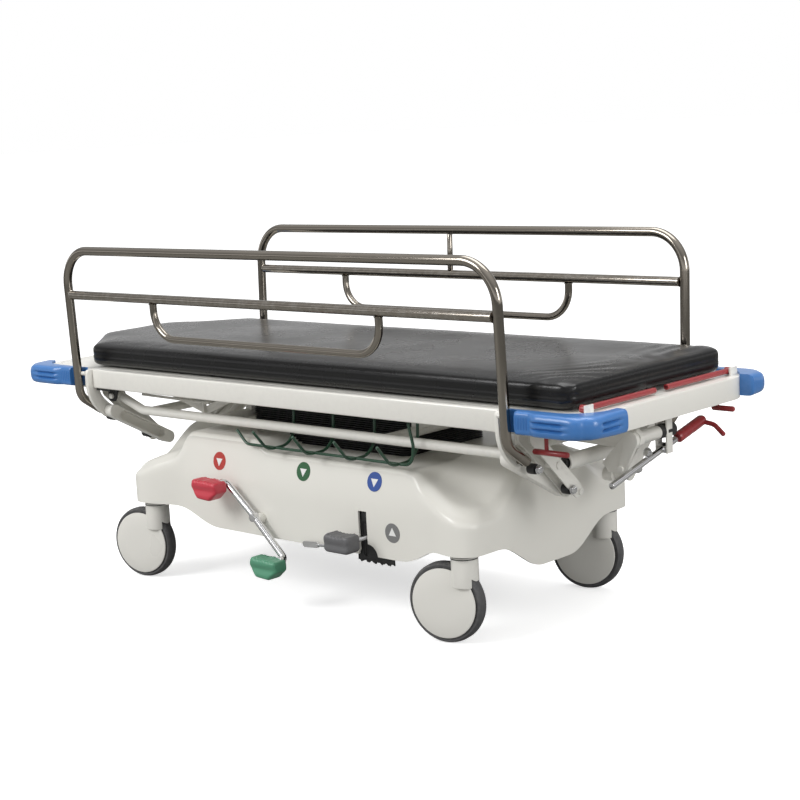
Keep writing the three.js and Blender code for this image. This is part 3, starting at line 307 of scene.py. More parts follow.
def make_variation():
    """Slow change of tone over a surface, with a little dust where it faces up."""
    tree, gin, gout = new_group(
        "tone_and_dust",
        [("Color", COLOR, (1, 1, 1, 1)), ("Dust Color", COLOR, (0.6, 0.57, 0.52, 1)), ("Amount", FLOAT, 0.06),
         ("Scale", FLOAT, 5.0), ("Dust", FLOAT, 0.08), ("Roughness", FLOAT, 0.5), ("Rough Change", FLOAT, 0.12)],
        [("Color", COLOR), ("Roughness", FLOAT), ("Mask", FLOAT)],
    )
    where = add_node(tree, "ShaderNodeTexCoord").outputs["Object"]
    slow = add_node(tree, "ShaderNodeTexNoise", Vector=where, Scale=gin.outputs["Scale"], Detail=4.0)
    specks = add_node(tree, "ShaderNodeTexNoise", Vector=where, Scale=90.0, Detail=5.0, Roughness=0.7)
    centred = add_node(tree, "ShaderNodeMath", {"operation": "SUBTRACT"}, i0=slow.outputs["Fac"], i1=0.5)
    swing = add_node(tree, "ShaderNodeMath", {"operation": "MULTIPLY"}, i0=centred.outputs[0], i1=gin.outputs["Amount"])
    value = add_node(tree, "ShaderNodeMath", {"operation": "ADD"}, i0=swing.outputs[0], i1=1.0)
    toned = add_node(tree, "ShaderNodeHueSaturation", Color=gin.outputs["Color"], Value=value.outputs[0])
    up = add_node(tree, "ShaderNodeSeparateXYZ", Vector=add_node(tree, "ShaderNodeNewGeometry").outputs["Normal"])
    lying = add_node(
        tree, "ShaderNodeMapRange", {"clamp": True}, Value=up.outputs["Z"], From_Min=0.2, From_Max=1.0,
        To_Min=0.15, To_Max=1.0,
    )
    broken = add_node(
        tree, "ShaderNodeMapRange", {"clamp": True}, Value=specks.outputs["Fac"], From_Min=0.42, From_Max=0.68
    )
    dusty = add_node(tree, "ShaderNodeMath", {"operation": "MULTIPLY"}, i0=lying.outputs[0], i1=broken.outputs[0])
    mask = add_node(tree, "ShaderNodeMath", {"operation": "MULTIPLY"}, i0=dusty.outputs[0], i1=gin.outputs["Dust"])
    dusted = add_node(
        tree, "ShaderNodeMixRGB", Fac=mask.outputs[0], Color1=toned.outputs["Color"], Color2=gin.outputs["Dust Color"]
    )
    wander = add_node(
        tree, "ShaderNodeMath", {"operation": "MULTIPLY_ADD"}, i0=centred.outputs[0], i1=gin.outputs["Rough Change"],
        i2=gin.outputs["Roughness"],
    )
    rough = add_node(
        tree, "ShaderNodeMath", {"operation": "MULTIPLY_ADD", "use_clamp": True}, i0=mask.outputs[0], i1=0.5,
        i2=wander.outputs[0],
    )
    tree.links.new(dusted.outputs[0], gout.inputs["Color"])
    tree.links.new(rough.outputs[0], gout.inputs["Roughness"])
    tree.links.new(mask.outputs[0], gout.inputs["Mask"])
    return tree


def make_wear():
    """Paler or darker rubbed edges, read from how sharply the surface turns."""
    tree, gin, gout = new_group(
        "edge_wear",
        [("Color", COLOR, (1, 1, 1, 1)), ("Worn Color", COLOR, (0.5, 0.5, 0.5, 1)), ("Amount", FLOAT, 0.4)],
        [("Color", COLOR), ("Mask", FLOAT)],
    )
    where = add_node(tree, "ShaderNodeTexCoord").outputs["Object"]
    turn = add_node(tree, "ShaderNodeNewGeometry").outputs["Pointiness"]
    sharp = add_node(tree, "ShaderNodeMapRange", {"clamp": True}, Value=turn, From_Min=0.53, From_Max=0.62)
    chips = add_node(tree, "ShaderNodeTexNoise", Vector=where, Scale=60.0, Detail=6.0, Roughness=0.65)
    patchy = add_node(
        tree, "ShaderNodeMapRange", {"clamp": True}, Value=chips.outputs["Fac"], From_Min=0.45, From_Max=0.6
    )
    both = add_node(tree, "ShaderNodeMath", {"operation": "MULTIPLY"}, i0=sharp.outputs[0], i1=patchy.outputs[0])
    mask = add_node(tree, "ShaderNodeMath", {"operation": "MULTIPLY"}, i0=both.outputs[0], i1=gin.outputs["Amount"])
    worn = add_node(
        tree, "ShaderNodeMixRGB", Fac=mask.outputs[0], Color1=gin.outputs["Color"], Color2=gin.outputs["Worn Color"]
    )
    tree.links.new(worn.outputs[0], gout.inputs["Color"])
    tree.links.new(mask.outputs[0], gout.inputs["Mask"])
    return tree


def make_grain():
    """Moulded or sprayed texture: fine noise over a slow unevenness."""
    tree, gin, gout = new_group(
        "fine_grain", [("Fine Scale", FLOAT, 700.0), ("Slow Scale", FLOAT, 12.0), ("Slow", FLOAT, 0.6)],
        [("Height", FLOAT)],
    )
    where = add_node(tree, "ShaderNodeTexCoord").outputs["Object"]
    fine = add_node(tree, "ShaderNodeTexNoise", Vector=where, Scale=gin.outputs["Fine Scale"], Detail=3.0)
    slow = add_node(tree, "ShaderNodeTexNoise", Vector=where, Scale=gin.outputs["Slow Scale"], Detail=2.0)
    height = add_node(
        tree, "ShaderNodeMath", {"operation": "MULTIPLY_ADD"}, i0=slow.outputs["Fac"], i1=gin.outputs["Slow"],
        i2=fine.outputs["Fac"],
    )
    tree.links.new(height.outputs[0], gout.inputs["Height"])
    return tree


def make_leather():
    """Coated cloth: small rounded cells with creases between them."""
    tree, gin, gout = new_group("vinyl_grain", [("Scale", FLOAT, 520.0)], [("Height", FLOAT), ("Crease", FLOAT)])
    where = add_node(tree, "ShaderNodeTexCoord").outputs["Object"]
    bent = add_node(tree, "ShaderNodeTexNoise", Vector=where, Scale=60.0, Detail=3.0)
    moved = add_node(
        tree, "ShaderNodeVectorMath", {"operation": "MULTIPLY_ADD"}, i0=bent.outputs["Color"],
        i1=(0.006, 0.006, 0.006), i2=where,
    )
    cells = add_node(
        tree, "ShaderNodeTexVoronoi", {"feature": "SMOOTH_F1"}, Vector=moved.outputs[0], Scale=gin.outputs["Scale"]
    )
    height = add_node(tree, "ShaderNodeMapRange", {"clamp": True}, Value=cells.outputs["Distance"], From_Max=0.7,
                      To_Min=1.0, To_Max=0.0)
    folds = add_node(tree, "ShaderNodeTexNoise", Vector=where, Scale=7.0, Detail=6.0, Roughness=0.6)
    tree.links.new(height.outputs[0], gout.inputs["Height"])
    tree.links.new(folds.outputs["Fac"], gout.inputs["Crease"])
    return tree


def make_brushed():
    """Polish lines that run along a tube or plate."""
    tree, gin, gout = new_group("brushed_lines", [("Stretch", VECTOR, (8.0, 200.0, 200.0))], [("Height", FLOAT)])
    where = add_node(tree, "ShaderNodeTexCoord").outputs["Object"]
    scaled = add_node(tree, "ShaderNodeVectorMath", {"operation": "MULTIPLY"}, i0=where, i1=gin.outputs["Stretch"])
    lines = add_node(tree, "ShaderNodeTexNoise", Vector=scaled.outputs[0], Scale=4.0, Detail=4.0, Roughness=0.6)
    tree.links.new(lines.outputs["Fac"], gout.inputs["Height"])
    return tree


VARIATION, WEAR, GRAIN, LEATHER, BRUSHED = make_variation(), make_wear(), make_grain(), make_leather(), make_brushed()


def place_group(tree, group, **inputs):
    n = tree.nodes.new("ShaderNodeGroup")
    n.node_tree = group
    for k, v in inputs.items():
        socket = n.inputs[k.replace("_", " ")]
        if isinstance(v, bpy.types.NodeSocket):
            tree.links.new(v, socket)
        else:
            socket.default_value = v
    return n


def finish(
    name, color, rough, metallic=0.0, coat=0.0, coat_rough=0.15, amount=0.06, scale=5.0, dust=0.08, change=0.12,
    worn=None, wear=0.35, grain=700.0, bump=0.08, depth=0.0004, lines=None, vinyl=False, ior=1.5,
):
    m = bpy.data.materials.new(name)
    m.use_nodes = True
    tree = m.node_tree
    shader = tree.nodes["Principled BSDF"]
    rgba = (*color, 1)
    tone = place_group(tree, VARIATION, Color=rgba, Amount=amount, Scale=scale, Dust=dust, Roughness=rough,
                       Rough_Change=change)
    out = tone.outputs["Color"]
    if worn:
        out = place_group(tree, WEAR, Color=out, Worn_Color=(*worn, 1), Amount=wear).outputs["Color"]
    tree.links.new(out, shader.inputs["Base Color"])
    tree.links.new(tone.outputs["Roughness"], shader.inputs["Roughness"])
    shader.inputs["Metallic"].default_value = metallic
    shader.inputs["Coat Weight"].default_value = coat
    shader.inputs["Coat Roughness"].default_value = coat_rough
    shader.inputs["IOR"].default_value = ior
    if vinyl:
        source = place_group(tree, LEATHER)
    elif lines:
        source = place_group(tree, BRUSHED, Stretch=lines)
    else:
        source = place_group(tree, GRAIN, Fine_Scale=grain)
    bumped = add_node(tree, "ShaderNodeBump", Strength=bump, Distance=depth, Height=source.outputs["Height"])
    last = bumped
    if vinyl:
        last = add_node(tree, "ShaderNodeBump", Strength=0.35, Distance=0.006, Height=source.outputs["Crease"],
                        Normal=bumped.outputs["Normal"])
    tree.links.new(last.outputs["Normal"], shader.inputs["Normal"])
    return m


CREAM = (0.80, 0.785, 0.73)
FINISHES = {
    "moulding": finish("cream_moulding", CREAM, 0.30, amount=0.04, scale=3.0, dust=0.02, grain=900.0, bump=0.1,
                       depth=0.0003, worn=(0.8, 0.79, 0.75), wear=0.2),
    "frame_enamel": finish("cream_enamel", (0.79, 0.775, 0.725), 0.30, coat=0.4, coat_rough=0.1, amount=0.04, dust=0.02,
                           worn=(0.45, 0.44, 0.42), wear=0.25, grain=260.0, bump=0.12, depth=0.0003),
    "undercarriage": finish("grey_undercarriage", (0.075, 0.075, 0.078), 0.5, dust=0.25, worn=(0.3, 0.29, 0.28),
                            wear=0.4, grain=400.0, bump=0.2),
    "stainless": finish("warm_stainless", (0.30, 0.272, 0.235), 0.11, metallic=1.0, amount=0.1, scale=9.0, dust=0.02,
                        change=0.12, lines=(6.0, 160.0, 160.0), bump=0.12, depth=0.0002, worn=(0.62, 0.6, 0.57),
                        wear=0.3),
    "chrome": finish("bright_chrome", (0.72, 0.72, 0.73), 0.09, metallic=1.0, amount=0.04, dust=0.03, change=0.06,
                     lines=(30.0, 90.0, 90.0), bump=0.03, depth=0.0001, worn=(0.5, 0.48, 0.46), wear=0.2),
    "bumper_blue": finish("blue_bumper", (0.043, 0.175, 0.47), 0.32, coat=0.35, coat_rough=0.2, amount=0.1, dust=0.04,
                          worn=(0.1, 0.27, 0.62), wear=0.5, grain=620.0, bump=0.14, depth=0.0003),
    "mattress_vinyl": finish("black_vinyl", (0.004, 0.004, 0.0045), 0.27, coat=0.15, coat_rough=0.2, amount=0.2,
                             dust=0.008, change=0.2, vinyl=True, bump=0.3, depth=0.0004, ior=1.36),
    "tyre_grey": finish("grey_tyre", (0.075, 0.075, 0.078), 0.6, dust=0.22, amount=0.15, worn=(0.16, 0.155, 0.15),
                        wear=0.5, grain=500.0, bump=0.25, depth=0.0005),
    "black_rubber": finish("black_rubber", (0.011, 0.011, 0.012), 0.5, dust=0.06, amount=0.2, grain=600.0, bump=0.2,
                           worn=(0.05, 0.05, 0.05), wear=0.4),
    "brake_red": finish("red_pad", (0.56, 0.03, 0.055), 0.34, coat=0.4, amount=0.1, dust=0.06, worn=(0.66, 0.16, 0.2),
                        wear=0.5, grain=500.0, bump=0.2, depth=0.0005),
    "steer_green": finish("green_pad", (0.085, 0.30, 0.18), 0.38, coat=0.3, amount=0.1, dust=0.06,
                          worn=(0.2, 0.45, 0.32), wear=0.5, grain=500.0, bump=0.2, depth=0.0005),
    "pedal_grey": finish("grey_pad", (0.12, 0.12, 0.125), 0.5, amount=0.1, dust=0.08, worn=(0.24, 0.24, 0.24),
                         wear=0.5, grain=500.0, bump=0.2, depth=0.0005),
    "handle_red": finish("dark_red_grip", (0.29, 0.022, 0.026), 0.33, coat=0.3, amount=0.12, dust=0.03,
                         worn=(0.42, 0.07, 0.06), wear=0.5, grain=650.0, bump=0.16, depth=0.0003),
    "wire_green": finish("green_dipped_wire", (0.008, 0.055, 0.026), 0.3, coat=0.4, amount=0.15, dust=0.04,
                         worn=(0.05, 0.13, 0.08), wear=0.4, grain=300.0, bump=0.15),
}
WHITE_MARK = finish("white_mark", (0.85, 0.85, 0.84), 0.4, dust=0.02, bump=0.05)
LABELS = {
    "red": finish("red_label", (0.46, 0.03, 0.02), 0.35, dust=0.03, coat=0.2, bump=0.06),
    "green": finish("green_label", (0.012, 0.105, 0.03), 0.35, dust=0.03, coat=0.2, bump=0.06),
    "blue": finish("blue_label", (0.02, 0.075, 0.33), 0.35, dust=0.03, coat=0.2, bump=0.06),
    "grey": finish("grey_label", (0.2, 0.2, 0.2), 0.4, dust=0.03, bump=0.06),
}


def piece(o, name, body, slot, *nodes, material=None):
    o.name = name
    o.data.name = name
    o.data.materials.clear()
    o.data.materials.append(material or FINISHES[slot])
    if body:
        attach(o, body)
    if nodes:
        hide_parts(*nodes)
    return o


SLOT_OF = {row["node"]: row["material_slot"] for row in frame["record"]["subparts"]}
for cad_name, cad_node in NODES.items():
    cad_node.data.materials.clear()
    cad_node.data.materials.append(FINISHES[SLOT_OF[cad_name]])


# ------------------------------------------------------------------ base cover
HOOD_SIDE, HOOD_END, POD_REACH = 0.302, 0.640, 0.338
POD_X, POD_Y, POD_R = 0.584, 0.284, 0.056
SKIRT_Z, POD_LIP_Z, END_LIP_Z = 0.180, 0.228, 0.152
DOME_Z, RECESS_Z = 0.440, 0.4128
RECESS_HEAD, RECESS_FOOT = -0.125, 0.440


def hood_quarter():
    """Plan outline of one quarter, from the middle of the side round to the middle of the end."""
    line = [(0.015 * i, HOOD_SIDE) for i in range(26)]
    for i in range(1, 17):
        x = mix(0.375, POD_X, i / 16)
        line.append((x, mix(HOOD_SIDE, POD_REACH, ease((x - 0.42) / (POD_X - 0.42)))))
    reach = POD_REACH - POD_Y
    for i in range(1, 10):
        a = math.pi / 2 * (1 - i / 9)
        line.append((POD_X + POD_R * math.cos(a), POD_Y + reach * math.sin(a)))
    line += [(HOOD_END, POD_Y * (1 - i / 18)) for i in range(1, 19)]
    return line


def hood_outline():
    q = hood_quarter()
    near_foot = [(x, -y) for x, y in q]
    far_foot = [(x, y) for x, y in reversed(q[:-1])]
    far_head = [(-x, y) for x, y in q[1:]]
    near_head = [(-x, -y) for x, y in reversed(q[:-1])]
    return near_foot + far_foot + far_head + near_head


def lip_height(x, y):
    if abs(x) > HOOD_END - 0.01:
        return mix(END_LIP_Z, POD_LIP_Z, ease((abs(y) - 0.06) / 0.16))
    if x < 0:
        return mix(SKIRT_Z, POD_LIP_Z, ease((-0.300 - x) / 0.175))
    return mix(SKIRT_Z, POD_LIP_Z, ease((x - 0.390) / 0.14))


def roof_height(x, y):
    """A raised body with a recess, low at its four corners over the casters."""
    low = ease((x - RECESS_HEAD + 0.02) / 0.045) * ease((RECESS_FOOT + 0.02 - x) / 0.045)
    z = mix(DOME_Z, RECESS_Z, low)
    corner = ease((abs(x) - 0.418) / 0.045) * ease((abs(y) - 0.09) / 0.15)
    drop = mix(0.052, 0.108, ease((abs(x) - 0.43) / 0.23))
    z -= corner * drop + 0.020 * ease((abs(x) - 0.52) / 0.13) * (1 - corner)
    dish = math.hypot((x + 0.30) / 0.10, y / 0.17)
    return z - 0.006 * (1 - ease((dish - 0.7) / 0.35))


def edge_height(x, y):
    """Where the side wall starts to round over, and how much of a corner pod it is."""
    pod = ease((abs(x) - 0.38) / 0.12)
    return roof_height(x, y) - mix(0.013, 0.024, pod), pod


HOOD_RIM = hood_outline()
SPINE_REACH = 0.40
HOOD_SIDE_ROWS, HOOD_ROOF_ROWS = 14, 22


def hood_form(u, v):
    x, y = HOOD_RIM[round(u * len(HOOD_RIM)) % len(HOOD_RIM)]
    edge, pod = edge_height(x, y)
    row = round(v * (HOOD_SIDE_ROWS + HOOD_ROOF_ROWS))
    core = Vector((max(-SPINE_REACH, min(SPINE_REACH, x)), 0))
    rim = Vector((x, y))
    if row <= HOOD_SIDE_ROWS:
        lip = lip_height(x, y)
        z = mix(lip, edge, row / HOOD_SIDE_ROWS)
        lean = mix(0.015, 0.006, pod) * ease((z - 0.300) / 0.13)
        lean += 0.004 * ease((row - HOOD_SIDE_ROWS + 2) / 2)
        spot = rim + (core - rim).normalized() * lean
        return spot.x, spot.y, z
    t = (row - HOOD_SIDE_ROWS) / HOOD_ROOF_ROWS
    reach = (core - rim).length
    inward = mix(0.014, reach, t**2.1)
    spot = rim + (core - rim).normalized() * min(inward, reach)
    blend = min(max((inward - 0.010) / mix(0.020, 0.036, pod), 0), 1)
    top = roof_height(spot.x, spot.y)
    round_over = mix(0.013, 0.024, pod)
    return spot.x, spot.y, top - round_over * (1 - math.sin(blend * math.pi / 2))


def build_hood():
    hood = surface(len(HOOD_RIM), HOOD_SIDE_ROWS + HOOD_ROOF_ROWS, hood_form, wrap=False)
    use(hood, "SMOOTH", factor=0.5, iterations=2)
    use(hood, "SUBSURF", levels=1, render_levels=1)
    use(hood, "SOLIDIFY", thickness=0.006, offset=-1)
    settle(hood, 40)
    slot_hole = block((0.2425, -0.40, 0.10), (0.2715, -0.24, 0.296), 0)
    flare = turned(
        [(0.0, -0.06), (0.034, -0.06), (0.034, 0.06), (0.0, 0.06)], (0.2715, -0.30, 0.178), (0, 1, 0), 32
    )
    carve(hood, slot_hole)
    carve(hood, flare)
    settle(hood, 40)
    return piece(hood, "base_cover", "base", "moulding", "base_hood")


HOOD = build_hood()


# ------------------------------------------------------------------ pedals and labels
def moulded_pad(node, body, slot, waist):
    """A foot pad shaped from its blank: rounded all over, waisted, with a grip lip along its top."""
    o = refined(node, 0.002, 1)
    use(o, "REMESH", mode="VOXEL", voxel_size=0.0026)
    use(o, "SMOOTH", factor=0.6, iterations=14)
    low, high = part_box(node)
    mid, size = (low + high) / 2, high - low
    for v in o.data.vertices:
        side = (v.co.x - mid.x) / (size.x / 2)
        rise = (v.co.z - low.z) / size.z
        v.co.z -= waist * ease(rise * 1.6 - 0.6) * (1 - side * side) ** 2
        v.co.y += 0.5 * waist * math.exp(-(((rise - 0.45) / 0.16) ** 2)) * ease((mid.y - v.co.y) / size.y + 0.5)
        v.co.z += 0.0011 * math.sin(v.co.x * 520) * ease((rise - 0.72) / 0.12)
    return piece(settle(o, 50), node + "_moulded", body, slot, node)


moulded_pad("brake_pad", "rocker", "brake_red", 0.008)
moulded_pad("steer_pad", "rocker", "steer_green", 0.008)
moulded_pad("pump_pad", "pump", "pedal_grey", 0.004)


def label(x, z, tone, up):
    """A round label with a plain triangle on it."""
    _, centre, face, _ = HOOD.ray_cast((x, -1, z), (0, 1, 0))
    centre = Vector(centre)
    face = Vector(face)
    if face.y > 0:
        face = -face
    disc = turned(
        [(0, -0.0015), (0.025, -0.0015), (0.0252, 0.0002), (0.0247, 0.0008), (0, 0.0008)], centre, face, 48
    )
    piece(disc, f"label_{tone}", "base", "moulding", material=LABELS[tone])
    deselect()
    bpy.ops.mesh.primitive_circle_add(
        vertices=3, radius=0.014, fill_type="NGON", location=centre + face * 0.0008, rotation=facing(face)
    )
    arrow = bpy.context.object
    bpy.ops.object.transform_apply()
    top = max(v.co.z for v in arrow.data.vertices)
    bottom = min(v.co.z for v in arrow.data.vertices)
    points_up = sum(v.co.z > (top + bottom) / 2 for v in arrow.data.vertices) == 1
    if points_up != up:
        arrow.data.transform(
            Matrix.Translation(centre) @ Matrix.Rotation(math.pi, 4, face) @ Matrix.Translation(-centre)
        )
    open_mesh(arrow)
    bpy.ops.mesh.extrude_region_move(TRANSFORM_OT_translate={"value": face * 0.0006})
    settle(arrow)
    piece(arrow, f"label_{tone}_arrow", "base", "moulding", material=WHITE_MARK)


for spot in ((-0.286, 0.371, "red", False), (0.042, 0.375, "green", False), (0.298, 0.375, "blue", False),
             (0.360, 0.252, "grey", True)):
    label(*spot)


# ------------------------------------------------------------------ casters
STEM_X, STEM_Y, STEM_LOW, STEM_TOP = 0.580, 0.286, 0.146, 0.222


def caster(end, side, sx, sy):
    key = f"{end}_{side}"
    low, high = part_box(f"caster_wheel_{key}")
    hub = (low + high) / 2
    radius = (high.z - low.z) / 2
    stem = Vector((sx * STEM_X, sy * STEM_Y, 0))
    trail = Vector((hub.x - stem.x, hub.y - stem.y, 0)).normalized()
    axle = Vector((-trail.y, trail.x, 0))
    tread = 0.018
    tyre = turned(
        [(radius - 0.018, -tread + 0.002), (radius - 0.006, -tread), (radius - 0.0018, -tread * 0.72),
         (radius, -tread * 0.35), (radius, tread * 0.35), (radius - 0.0018, tread * 0.72), (radius - 0.006, tread),
         (radius - 0.018, tread - 0.002)],
        hub, axle, 96,
    )
    core = turned(
        [(0.0, -0.017), (0.020, -0.017), (0.024, -0.012), (radius - 0.0175, -0.012), (radius - 0.0175, 0.012),
         (0.024, 0.012), (0.020, 0.017), (0.0, 0.017)], hub, axle, 64)
    piece(tyre, f"tyre_{key}", f"wheel_{key}", "tyre_grey", f"caster_wheel_{key}")
    piece(core, f"wheel_core_{key}", f"wheel_{key}", "undercarriage")
    shells = []
    for way in (-1, 1):
        shells.append(
            turned(
                [(0.0, 0.0195), (0.0865, 0.0195), (0.088, 0.0205), (0.0872, 0.0222), (0.084, 0.0232),
                 (0.045, 0.0240), (0.0, 0.0243)],
                hub, axle * way, 96,
            )
        )
    well = turned([(0.0, -0.0194), (radius + 0.003, -0.0194), (radius + 0.003, 0.0194), (0.0, 0.0194)], hub, axle, 96)
    neck = carve(drum((stem.x, stem.y, STEM_LOW), (stem.x, stem.y, STEM_TOP), 0.034, 0.0016, 96, 3), well)
    shells.append(settle(neck, 30))
    piece(joined(shells), f"caster_body_{key}", f"caster_{key}", "frame_enamel", f"caster_housing_{key}")
    top = Vector((stem.x, stem.y, STEM_TOP))
    ring = turned(
        [(0.031, -0.0060), (0.0343, -0.0060), (0.0345, -0.0048), (0.0343, -0.0036), (0.031, -0.0036)],
        top, (0, 0, 1), 64,
    )
    piece(ring, f"caster_ring_{key}", f"caster_{key}", "black_rubber")


for corner in CORNERS:
    caster(*corner)


# ------------------------------------------------------------------ lift: bellows and rams
def build_bellows():
    low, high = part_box("lift_bellows")
    deselect()
    bpy.ops.mesh.primitive_plane_add(size=1, location=((low.x + high.x) / 2, (low.y + high.y) / 2, low.z))
    o = bpy.context.object
    o.scale = (high.x - low.x - 0.001, high.y - low.y - 0.001, 1)
    bpy.ops.object.transform_apply()
    open_mesh(o)
    bpy.ops.mesh.bevel(offset=0.022, segments=5, affect="VERTICES")
    folds = 18
    pitch = (high.z - low.z) / folds
    lx, ly = high.x - low.x, high.y - low.y
    inset = 0.009

    def draw(dx, dz):
        bpy.ops.mesh.extrude_region_move(TRANSFORM_OT_translate={"value": (0, 0, dz)})
        if dx:
            bpy.ops.transform.resize(value=((lx + dx) / lx, (ly + dx) / ly, 1), center_override=(0, 0, 0))

    for i in range(folds):
        draw(0, pitch * 0.14)
        draw(-2 * inset, pitch * 0.30)
        draw(0, pitch * 0.12)
        bpy.ops.mesh.extrude_region_move(TRANSFORM_OT_translate={"value": (0, 0, pitch * 0.30)})
        bpy.ops.transform.resize(
            value=(lx / (lx - 2 * inset), ly / (ly - 2 * inset), 1), center_override=(0, 0, 0)
        )
        draw(0, pitch * 0.14)
    settle(o, 20)
    piece(o, "bellows_folds", None, "black_rubber", "lift_bellows")
    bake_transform(o, "base", "lift", start=(0, 0, low.z + 0.0007), end=(0, 0, high.z - 0.0015))


build_bellows()
for end in ("head", "foot"):
    low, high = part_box(f"lift_ram_{end}")
    mid = (low + high) / 2
    piece(drum((mid.x, 0, low.z), (mid.x, 0, high.z), 0.036, 0.002, 64), f"ram_{end}", "lift", "chrome",
          f"lift_ram_{end}")


# ------------------------------------------------------------------ mattress
PUFF_LIMIT, CLOTH_GRID = 0.0065, 0.0105


def build_mattress():
    low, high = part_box("mattress")
    mesh = NODES["mattress"].data.copy()
    for key in list(mesh.keys()):
        del mesh[key]
    mesh.materials.clear()
    pad_o = bpy.data.objects.new("mattress_cover", mesh)
    bpy.context.collection.objects.link(pad_o)
    settle(pad_o)
    mid = (low + high) / 2
    size = high - low
    margin = 0.007
    for v in pad_o.data.vertices:
        for i in range(3):
            v.co[i] = mid[i] + (v.co[i] - mid[i]) * (1 - 2 * margin / size[i])
    use(pad_o, "REMESH", mode="VOXEL", voxel_size=CLOTH_GRID)
    rest = [v.co.copy() for v in pad_o.data.vertices]
    pick(pad_o)
    cloth = pad_o.modifiers.new("cloth", "CLOTH")
    s = cloth.settings
    s.quality = 5
    s.mass = 0.4
    s.tension_stiffness = s.compression_stiffness = 18
    s.bending_stiffness = 1.2
    s.use_pressure = True
    s.uniform_pressure_force = 4
    s.effector_weights.gravity = 0
    cloth.collision_settings.use_collision = False
    for step in range(1, 21):
        bpy.context.scene.frame_set(step)
    bpy.ops.object.modifier_apply(modifier=cloth.name)
    for v, was in zip(pad_o.data.vertices, rest):
        moved = v.co - was
        if moved.length > PUFF_LIMIT:
            v.co = was + moved * (PUFF_LIMIT / moved.length)
    bpy.context.scene.frame_set(1)
    floor, roof = low.z + 0.0004, high.z
    for v in pad_o.data.vertices:
        v.co.z = min(max(v.co.z, floor), roof)
        v.co.x = min(max(v.co.x, low.x), high.x)
        v.co.y = min(max(v.co.y, low.y), high.y)
    use(pad_o, "SUBSURF", levels=1, render_levels=1)
    band = (low.z + high.z) / 2
    for v in pad_o.data.vertices:
        x, y, z = v.co
        edge = min(high.x - x, x - low.x, high.y - abs(y))
        if edge < 0.02:
            for seam, depth in ((band, 0.0022), (high.z - 0.011, 0.0012), (low.z + 0.011, 0.0012)):
                pull = math.exp(-(((z - seam) / 0.0028) ** 2)) * depth
                inward = Vector((0.2 - x, -y * 3, 0)).normalized()
                v.co += inward * pull
        elif z > band:
            corner = math.exp(-(((x - 0.90) / 0.10) ** 2)) * math.exp(-(((abs(y) - 0.20) / 0.13) ** 2))
            wave = math.sin(95 * (x + 0.55 * abs(y)) + 3 * math.sin(13 * y)) * math.sin(31 * x - 22 * y)
            slow = math.sin(9 * x + 1.3) * math.sin(12 * y)
            v.co.z -= 0.0019 * (1 + wave) * corner + 0.0007 * (1 + slow)
    settle(pad_o, 60)
    piece(pad_o, "mattress_cover", "litter", "mattress_vinyl", "mattress")


build_mattress()


# ------------------------------------------------------------------ bumpers
BUMPER_IN_Y, BUMPER_IN_X, BUMPER_OUT_Y, BUMPER_OUT_X = 0.3453, 1.0083, 0.388, 1.040
BUMPER_IN_R, BUMPER_OUT_R = 0.0903, 0.060
BUMPER_LOW, BUMPER_HIGH = (corner.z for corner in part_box("bumper_foot_near"))
LONG_LEG_Y, SHORT_LEG_Y = 0.232, 0.292


def bumper_sections(leg):
    """Inner point, outer point and how deep the moulded grooves run, all along one bumper."""
    rows = []
    for x in (0.7735, 0.776, 0.79, 0.805, 0.8185):
        rows.append((x, BUMPER_IN_Y, x, BUMPER_IN_Y + 0.0042, 0.0))
    for i, x in enumerate((0.8215, 0.8235, 0.826, 0.83, 0.834, 0.838, 0.842, 0.846, 0.850, 0.854, 0.858, 0.862, 0.867)):
        ridged = 0.0 if i < 2 else (1.0 if i % 2 else 0.25)
        deep = (0.018, 0.0285)[i] if i < 2 else 0.0307
        rows.append((x, BUMPER_IN_Y, x, BUMPER_IN_Y + deep, -ridged))
    for i in range(14):
        x = mix(0.872, BUMPER_OUT_X - BUMPER_OUT_R, i / 13)
        inner = min(x, BUMPER_IN_X - BUMPER_IN_R)
        deep = mix(0.034, BUMPER_OUT_Y - BUMPER_IN_Y, ease(i / 2))
        rows.append((inner, BUMPER_IN_Y, x, BUMPER_IN_Y + deep, ease((i - 0.6) / 1.3) * ease((13.4 - i) / 1.3)))
    for i in range(1, 12):
        a = math.pi / 2 * (1 - i / 12)
        valley = 1 - 0.11 * math.exp(-(((a - math.pi / 4) / 0.2) ** 2))
        inner_y = mix(BUMPER_IN_Y, 0.328, i / 12)
        rows.append(
            (*inner_at(inner_y),
             0.980 + BUMPER_OUT_R * math.cos(a) * valley, 0.328 + BUMPER_OUT_R * math.sin(a) * valley, 0.0)
        )
    for i in range(13):
        y = mix(0.328, leg + 0.003, i / 12)
        ribbed = ease((i + 0.4) / 1.3) * ease((9.4 - i) / 1.3) if leg < 0.26 else 0.0
        rows.append((*inner_at(y), BUMPER_OUT_X, y, ribbed))
    rows.append((*inner_at(leg + 0.001), BUMPER_OUT_X - 0.004, leg + 0.0005, 0.0))
    return rows


def inner_at(y):
    """Point of the frame's outer face that a place on the end leg lies against."""
    centre_y = BUMPER_IN_Y - BUMPER_IN_R
    rise = max(min(y, BUMPER_IN_Y) - centre_y, 0)
    if rise:
        rise = min(rise, BUMPER_IN_R * 0.9999)
    return BUMPER_IN_X - BUMPER_IN_R + math.sqrt(BUMPER_IN_R**2 - rise**2), min(y, BUMPER_IN_Y)


GROOVE_ROWS = 40


